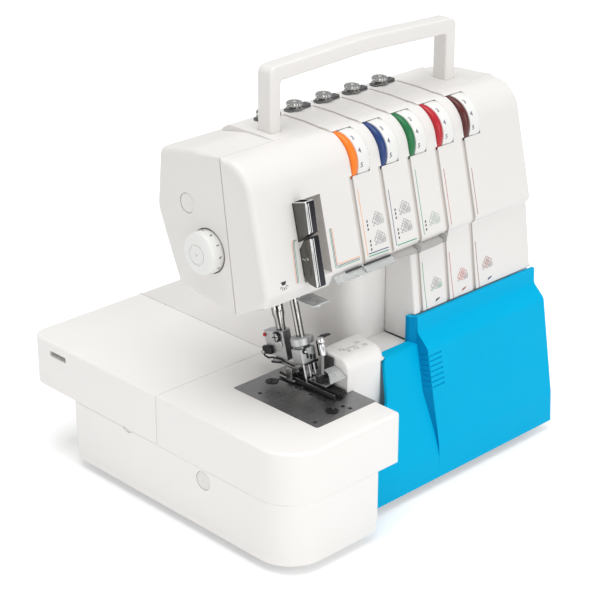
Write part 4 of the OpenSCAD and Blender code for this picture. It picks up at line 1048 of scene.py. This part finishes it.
def take_up():
    """Chrome guard and lever: profiles [y, h] carried along X, with painted reflections and painted shade on
    their faces, and a painted highlight and dark painted reflection streaks in front.
    """
    guard = round_corners(up([[54, 142.6, 1.4], [58.4, 166.8, 1.4], [72, 163, 0], [80, 163, 1.4],
                              [80, 126, 1.4], [65.2, 133.2, 3]]), 6)
    body = mesh_of(carried(guard, ends(72.1, 81.7, 1.2, 0.8), "x"), "chrome_guard")
    well = sided(np.array(up([[57.2, 146], [61.8, 170], [71.5, 170], [71.5, 146]])))
    o = piece("chrome_guard", carve(body, [carried(well, [[73.4, 0], [80.4, 0]], "x")]), chrome,
              replaces=["takeup_guard"], angle=50)
    lever = round_corners(up([[44.9, 101.8, 1.4], [53.4, 140.4, 1.4], [60.3, 136.6, 7], [64.4, 128.6, 7],
                              [76, 119, 1.4], [76, 108, 1.4], [61, 108, 3], [54.5, 102.6, 4],
                              [49.5, 101.8, 2]]), 6)
    lever = piece("chrome_lever", carried(lever, ends(72.1, 81.7, 1.2, 0.8), "x"), chrome, "takeup",
                  ["takeup_lever"], angle=50)
    # painted reflection: grey on the left faces and near black on the front faces of the chrome
    for part in (o, lever):
        paint(part, chrome_side_painted_reflection, lambda c, n: n[0] < -0.9)
        paint(part, chrome_front_painted_reflection, lambda c, n: n[1] < -0.5 and abs(n[0]) < 0.35)
    # painted shade: black on the lever's top, and on the guard's underside and inside its well
    paint(lever, black_steel_and_painted_shade, lambda c, n: n[2] > 0.3 and c[1] > 53.6)
    paint(o, black_steel_and_painted_shade, lambda c, n: n[2] < -0.4
          or (73.3 < c[0] < 80.5 and 57 < c[1] < 71.6 and c[2] > BED + 145.9 and c[2] < BED + 163))

    def front(x, h, lift=0.0):
        return x, 44.9 + (h - 101.8) * 0.2085 - 0.98 * lift, BED + h + 0.2 * lift

    # painted highlight: the bright ribbons; the dark ribbon between them is a painted dark reflection
    for name, a, b, body in (("guard", 143.8, 165.2, "machine"), ("lever", 103.4, 139.2, "takeup")):
        bright = [ribbon([(75.1, a), (75.1, b)], 0.6, front), ribbon([(73.5, a), (73.5, b)], 0.5, front)]
        dark = [ribbon([(74.3, a), (74.3, b)], 0.9, front)]
        piece(f"{name}_painted_highlight", together(*bright), painted_highlight, body)
        piece(f"{name}_streaks", together(*dark), black_steel_and_painted_shade, body)
    piece("lever_mark", together(rod(71.7, 72.6, (55.4, BED + 122.6), 1.2, n=20, edge=0.3),
                                 block((71.8, 57.6, BED + 120.6), (72.4, 61.2, BED + 121.8), 0.2)),
          bright_metal, "takeup")


def guides():
    """Slotted plate, two clear rails, and a grey strip of painted shade below the arm's front edge."""
    plate = round_corners([[79, 56.6, 0.4], [96.4, 56.6, 0.4], [96.4, 75.6, 0.4], [79, 75.6, 0.4]], 2)
    body = mesh_of(carried(plate, ends(BED + 80.6, BED + 81.8, 0.3), "z"), "slotted_guide")
    cuts = [block((81 + 3.1 * k, 59.5, BED + 79), (82.2 + 3.1 * k, 70, BED + 84)) for k in range(5)]
    body = carve(body, cuts)
    body = carve(body, [block((84, 74.4, BED + 80.8), (92, 75.6, BED + 84.4)),
                        rod(BED + 78.2, BED + 81, (88, 61), 2.6, "z", 32)], "UNION")
    piece("slotted_guide", body, satin_metal, replaces=["guide_plate"])
    section = round_corners(up([[57.4, 98.6, 0.2], [52.8, 94.2, 0.5], [53.7, 93.3, 0.4],
                                [61.4, 96.2, 0.2]]), 3)
    shapes = [carried(section, ends(*x, 1.6, 1.6, 5), "x", 0.0) for x in ((101.4, 131), (134, 165))]
    piece("clear_rail", together(*shapes), frosted_plastic, replaces=["clear_guide"])
    strips = [block((x, 56.2, BED + 98.8), (x + w, 57.4, BED + 99.9)) for x, w in ((114, 17), (134, 29))]
    piece("rail_shadow", together(*strips), black_plastic)
    # painted shade: a grey strip for the chin recess in shadow, with two darker squares where the channels
    # pass through it
    x = np.array([167, 172, 192, 212, 226, 234.5])
    reach = np.array([1.6, 4.6, 6.6, 6.6, 5.6, 0.8])
    rings = [[[a, 60.7, BED + 98.6], [a, 60.7 - b, BED + 98.6 - b * 0.36],
              [a, 60.9 - b, BED + 96 - b * 0.4], [a, 60.9, BED + 94.6]] for a, b in zip(x, reach)]
    piece("chin_channel_shade", together(block((191.5, 53.6, BED + 93.2), (195.5, 60, BED + 98.4), 0.3),
                                   block((222.5, 54.6, BED + 93.4), (227, 60, BED + 98.6), 0.3)),
          painted_channel_shade)
    piece("chin_shade_strip", (np.array(rings).reshape(-1, 3), ring_faces(6, 4)), painted_chin_shade,
          replaces=["guide_rail"])


def knob():
    """Pressure dial: a profile turned about X, marks bent round its rim at angle turn + width / radius."""
    at_knob = (0, *KNOB)
    rim = [[0, 33.7], [16.8, 33.7], [17, 33.4], [17, 24.6], [16.4, 22.9], [14.8, 22.0], [12.6, 21.4],
           [8.2, 20.7], [8.1, 21.3], [7.5, 21.3], [7.4, 20.65], [1.2, 20.6], [0.9, 21.4], [0, 21.4]]
    piece("pressure_dial", turned(rim, at_knob, "x", 144), knob_white, "pressure",
          ["pressure_knob"], angle=38)
    marks = []
    for n in range(9):
        f = math.radians(-62 + 32 * n)
        stroke = [(30.4, 0.5), (30.4, -0.5), (28.2, -0.5), (28.2, 0.5)]
        wedge = [(30.6, 0.9), (29.6, -0.9), (27.8, -0.7), (28.6, 0.7)]

        def on_rim(a, b, d=0.0):
            r, turn = KNOB_R + 0.02 + d, f + b / KNOB_R
            return a, KNOB[0] - r * math.cos(turn), KNOB[1] + r * math.sin(turn)

        marks.append(patch(stroke if n % 2 else wedge, on_rim))
    piece("pressure_marks", together(*marks), grey_ink, "pressure")
    caps = []
    for a, y, z, r in ((33.3, 145.5, BED + 152.8, 8), (0.3, 96, 51, 8)):
        caps.append(turned([[0, a + 0.2], [0.7, a + 0.2], [0.9, a - 0.05], [r - 0.8, a],
                            [r - 0.1, a + 0.5], [r - 0.1, a + 3], [0, a + 3]], (0, y, z), "x", 48))
    piece("round_caps", together(*caps), white, replaces=["screw_caps"])


def posts():
    """Pre-tension posts on the top plate: fluted discs turned about Z on a small foot plate."""
    shapes, dark = [], []
    for c in CHANNELS:
        x, y, z = c - 14, 150, BED + ARM_H + 0.9
        shapes += [turned([[0, z + 1], [6.6, z + 1.4], [6.8, z + 1.8], [4.2, z + 2.8], [6.6, z + 3.8],
                           [6.8, z + 5.6], [6.0, z + 6.6], [3.2, z + 6.8], [2.8, z + 6.2], [0, z + 6.2]],
                          (x - 3, y, 0), "z", 64, 14, 0.7, [0, 0, 0, 0, 1, 1, 0.6, 0, 0, 0])]
        dark += [block((x - 12, y - 4.5, z + 0.4), (x + 12.5, y + 4.5, z + 1.5), 0.4, "z", 3),
                 block((x + 3, y - 3.6, z + 1.4), (x + 12, y + 3.6, z + 2.8), 0.4, "z", 1)]
        dark += [rod(z - 6, z + 1, (x, y), 2.4, "z", 24)]
    piece("post_tops", together(*shapes), bright_metal, replaces=["thread_posts"], angle=40)
    piece("post_studs", together(*dark), shadow_metal)


take_up()
guides()
knob()
posts()


# ---- presser bar, needle bar and foot --------------------------------------------------

def presser_parts():
    """Drawn in the bars' own frame, with the origin where the needle meets the bed."""
    plan = round_corners([[-6, 13.5, 0.8], [1.5, 13.5, 0.8], [5.5, 17.5, 0.8], [5.5, 33, 0.8],
                          [2, 36, 0.8], [-6, 36, 0.8]], 3)
    holder = mesh_of(lean(carried(plan, ends(22, 46, 0.7), "z")), "holder_block")
    holder = carve(holder, [lean(block((-8, 27, 20), (7, 40, 27))),
                            lean(block((-7, 16, 29.6), (-5.6, 27, 30.4))),
                            lean(rod(20, 50, (0, PRESSER_BAR), 4.05, "z"))])
    o = piece("holder_block", holder, satin_metal, "presser", ["foot_holder"])
    paint(o, shadow_metal, lambda c, n: n[1] < -0.6)
    wire = [[-8.6, 38.4, 29], [-8.6, 37, 25.6], [-7.6, 34, 23.6], [-7.2, 30, 24.2], [-7, 20.5, 23],
            [-6.4, 10.8, 19.4], [-5.8, 7, 18]]
    parts = [rod(-8.0, -5.8, (20.7, 41.6), 4.3, "x", 40, 0.5), rod(5, 8.5, (21, 33), 3.6, "x", 32, 0.5),
             block((-9.4, 28, 27), (-5.6, 38, 34), 1.0, "x", 1.5), tube_along(wire, 0.75),
             block((-7.6, 20, 19.6), (-5.6, 32, 21.2), 0.3), block((8.6, -1, 11), (11, 4, 17), 0.6)]
    piece("holder_screw", together(*map(lean, parts)), black_steel_and_painted_shade, "presser", ["foot_screw"])
    parts = [rod(-8.9, -7.9, (20.7, 41.6), 3.3, "x", 40, 0.3),
             rod(-10.4, -9.2, (37, 28.8), 2.0, "x", 24, 0.5),
             tube_along([[-6.6, 30, 21.9], [-6.2, 18, 20.3], [-5, 7, 16.2]], 0.7),
             tube_along([[-4.2, 26, 19.5], [-3.5, 14, 16.6], [-2.9, 7, 14.2]], 0.75),
             block((-7.4, 16, 33), (-5.8, 24, 38.4), 0.6)]
    piece("screw_face", together(*map(lean, parts)), bright_metal, "presser")
    piece("presser_shaft", lean(turned([[0, 46], [3.6, 46], [4.0, 55], [4.9, 59], [4.9, 66], [4.2, 67.5],
                                        [4.2, 174], [0, 174]], (0, PRESSER_BAR, 0), "z", 64)), bar_chrome_painted_reflections,
          "presser", ["presser_bar"])
    piece("screw_slots", together(lean(block((-9.1, 17.6, 41.2), (-8.6, 23.8, 42), 0.1)),
                                  lean(block((-9.1, 20.3, 38.5), (-8.6, 21.1, 44.7), 0.1))), black_steel_and_painted_shade,
          "presser")
    piece("red_dot", lean(rod(-6.9, -4.6, (35.4, 42.4), 1.6, "x", 24, 0.3)), ring_finish["red"],
          "presser")


def foot_parts():
    """Foot with its row of long runners, the plate over them, the guard block and the clear shield."""
    runners = [(94.2, 95.6, 47.8, 110), (99.3, 100.8, 49, 108), (101.4, 103.2, 48, 66),
               (104.2, 106, 49, 66), (107, 108.6, 50.6, 66)]
    dark = [block((a, c, BED + 0.9), (b, d, BED + 3.6), 0.4) for a, b, c, d in runners]
    dark += [block((100.3, 64, BED + 0.8), (108.6, 68, BED + 4.2), 0.4),
             block((94.2, 96, BED + 2.2), (100.3, 102, BED + 5.8), 0.5),
             block((106.4, 64.4, BED + 10.5), (109.6, 72.3, BED + 26), 0.6),
             block((97.5, 67, BED + 6.2), (108, 72.4, BED + 10), 0.6),
             block((101, 84, BED + 3), (107, 97, BED + 5), 0.5)]
    piece("foot_runners", together(*dark), black_plastic, "presser")
    pale = [block((95.9, 50, BED + 0.8), (97, 108, BED + 3.2), 0.3),
            block((91.6, 90, BED + 1.2), (93.4, 108, BED + 2.6), 0.4)]
    pale += [block((a, 51, BED + 0.6), (a + 0.7, 65, BED + 2.6)) for a in (100.5, 103.4, 106.2)]
    pale += [block((90, 91.5, BED + 2), (92.4, 97.6, BED + 13.6), 0.6),
             block((103.6, 91.5, BED + 2), (106, 97.6, BED + 13.6), 0.6),
             rod(89, 107, (94, BED + 10.5), 1.5, n=24)]
    piece("foot_pillars", together(*pale), bright_metal, "presser", ["presser_foot"])
    plate = round_corners([[99.2, 87, 0.8], [98.2, 61.2, 0.8], [109.6, 62.8, 0.8], [109.6, 90, 1],
                           [106, 93, 1]], 4)
    body = mesh_of(carried(plate, ends(BED + 5.0, BED + 6.2, 0.3), "z"), "foot_plate")
    holes = [block((107.4, 73.4, BED), (110.6, 75.8, BED + 9)), block((107, 79, BED), (108.6, 84, BED + 9))]
    holes.append(block((96.5, 73, BED), (106, 84.8, BED + 9)))
    holes += [block((100.6 + 1.9 * k, 85.6, BED), (101.5 + 1.9 * k, 88, BED + 9)) for k in range(5)]
    o = piece("foot_plate", carve(body, holes), satin_metal, "presser")
    # painted shade: black on the side walls of the plate's holes and on its right edge
    paint(o, black_steel_and_painted_shade, lambda c, n: c[1] > 62 and abs(n[0]) > 0.8 and 99.6 < c[0] < 112)
    path = round_corners([[64, BED + 19.6, 0], [57, BED + 18.4, 6], [50.6, BED + 14, 0]], 8)
    under = path + np.array([0.7, -0.7])
    rings = [[[a, *path[k]], [b, *path[k]], [b, *under[k]], [a, *under[k]]] for k in range(len(path))
             for a, b in [(np.interp(path[k, 0], [50.6, 60], [93, 99]), 109.7)]]
    piece("eye_shield", (np.array(rings).reshape(-1, 3), ring_faces(len(path), 4)), frosted_plastic,
          "presser")


def needle_parts():
    """Needle clamp with its screws, the needle bar, and the foot's lever and thumb screw beside it."""
    clamp = together(lean(turned([[0, 34.4], [6.6, 34.4], [7.4, 35.4], [7.4, 40.6], [6.6, 41.8],
                                  [0, 41.8]], (-1.5, 0, 0), "z", 48)),
                     lean(block((1, -5, 34.6), (10.2, 5, 40.4), 1.2, "z", 2.2)),
                     lean(block((-7.5, -5.8, 20.4), (7.8, 5.8, 32.5), 0.8, "z", 1.0)),
                     lean(block((-4.5, -4.8, 31), (4, 4.8, 35.4), 0.5)))
    piece("clamp_block", clamp, satin_metal, "needle", ["needle_clamp"])
    fan = np.array([[8.2, -8.7, 34.4], [11, -9.1, 36], [15, -9.4, 36.9], [21.6, -9.6, 36.4]])
    rings = [[[a, b - d, c], [a, b + d, c + 0.5], [a, b + d, c + 1.5], [a, b - d, c + 1.0]]
             for (a, b, c), d in zip(fan, (1.0, 2.2, 2.6, 1.2))]
    parts = [block((x - 1.15, -6.3, z - 2.0), (x + 1.15, -5.4, z + 2.0), 0.4, "z", 0.5)
             for x, z in ((-1.8, 26.2), (1.7, 24.6), (5.0, 23.4))]
    parts += [rod(-7.0, -4.8, (-4.2, 30.4), 2.0, "y", 20, 0.4),
              block((-3.4, -6.6, 32.6), (2.2, -4.0, 35.0), 0.4),
              block((-5.2, -7.0, 19.4), (7.8, -5.2, 20.9), 0.3)]
    piece("clamp_dots", together(*map(lean, parts)), black_steel_and_painted_shade, "needle", ["clamp_screws"])
    piece("foot_lever", together(lean(block((8.2, -9.6, 23), (10.6, -6.8, 34.8), 0.5)),
                                 lean((np.array(rings).reshape(-1, 3), ring_faces(4, 4)))), black_steel_and_painted_shade,
          "presser")
    piece("thumb_screw", together(lean(rod(23.5, 33, (9.2, -12), 2.6, "z", 32, 0.5)),
                                  lean(turned([[0.01, 32.4], [2.2, 32.8], [3.2, 34.6], [3.2, 36.2],
                                               [2.4, 38], [0.01, 38.7]], (9.2, -12, 0), "z", 32))),
          chrome, "presser")
    piece("clamp_screw", lean(rod(-7.6, -6.9, (-4.2, 30.4), 1.0, "y", 16, 0.2)), chrome, "needle")
    piece("needle_shaft", lean(turned([[0, 30], [3.3, 30], [3.3, 170], [0, 170]], (0, 0, 0), "z", 64)),
          bar_chrome_painted_reflections, "needle", ["needle_bar"])


presser_parts()
foot_parts()
needle_parts()


# ---- floor and light -----------------------------------------------------------------

def stage():
    """Pale floor that keeps its shadows, with a faint glow for the view, for mirrors and through clear
    parts only, and a white surrounding that is darker for the rest."""
    r = Recipe("floor", (0.9, 0.9, 0.9), 0.9)
    r.tint(r.noise(3, 2), (0.89, 0.89, 0.89), (0.91, 0.91, 0.91))
    path = r.node("ShaderNodeLightPath")
    seen = r.node("ShaderNodeMath", wires={0: path.outputs["Is Camera Ray"],
                                           1: path.outputs["Is Glossy Ray"]}, operation="MAXIMUM")
    seen = r.node("ShaderNodeMath", wires={0: seen.outputs[0], 1: path.outputs["Is Transmission Ray"]},
                  operation="MAXIMUM")
    glow = r.node("ShaderNodeEmission", {"Color": (1, 1, 1, 1)})
    level = r.node("ShaderNodeMath", {1: 0.32}, {0: seen.outputs[0]}, operation="MULTIPLY")
    r.links.new(level.outputs[0], glow.inputs["Strength"])
    add = r.node("ShaderNodeAddShader", wires={0: r.shader.outputs[0], 1: glow.outputs[0]})
    r.links.new(add.outputs[0], r.nodes["Material Output"].inputs["Surface"])
    floor = bpy.data.meshes.new("floor")
    s = 9.0
    floor.from_pydata([(-s, -s, 0), (s, -s, 0), (s, s, 0), (-s, s, 0)], [], [(0, 1, 2, 3)])
    floor.materials.append(r.material)
    o = bpy.data.objects.new("floor", floor)
    bpy.context.scene.collection.objects.link(o)

    world = bpy.data.worlds.new("studio")
    bpy.context.scene.world = world
    world.use_nodes = True
    n, links = world.node_tree.nodes, world.node_tree.links
    back = n["Background"]
    path = n.new("ShaderNodeLightPath")
    mix = n.new("ShaderNodeMapRange")
    mix.inputs["To Min"].default_value, mix.inputs["To Max"].default_value = 0.55, 1.0
    links.new(path.outputs["Is Camera Ray"], mix.inputs["Value"])
    links.new(mix.outputs["Result"], back.inputs["Strength"])
    back.inputs["Color"].default_value = (1, 1, 1, 1)


def lamp(name, place, target, size, power):
    """Square area lamp that faces its target."""
    data = bpy.data.lights.new(name, "AREA")
    data.shape, data.size, data.energy = "SQUARE", size, power
    o = bpy.data.objects.new(name, data)
    o.location = place
    o.rotation_euler = (Vector(target) - Vector(place)).to_track_quat("-Z", "Y").to_euler()
    bpy.context.scene.collection.objects.link(o)


stage()
lamp("overhead", (-0.2, 0.0, 2.2), (0, 0, 0.1), 1.6, 25)
lamp("front", (0.1, -2.2, 1.0), (0, 0, 0.12), 1.4, 17)
lamp("left", (-2.2, -0.3, 0.25), (0, 0, 0.08), 0.9, 7)
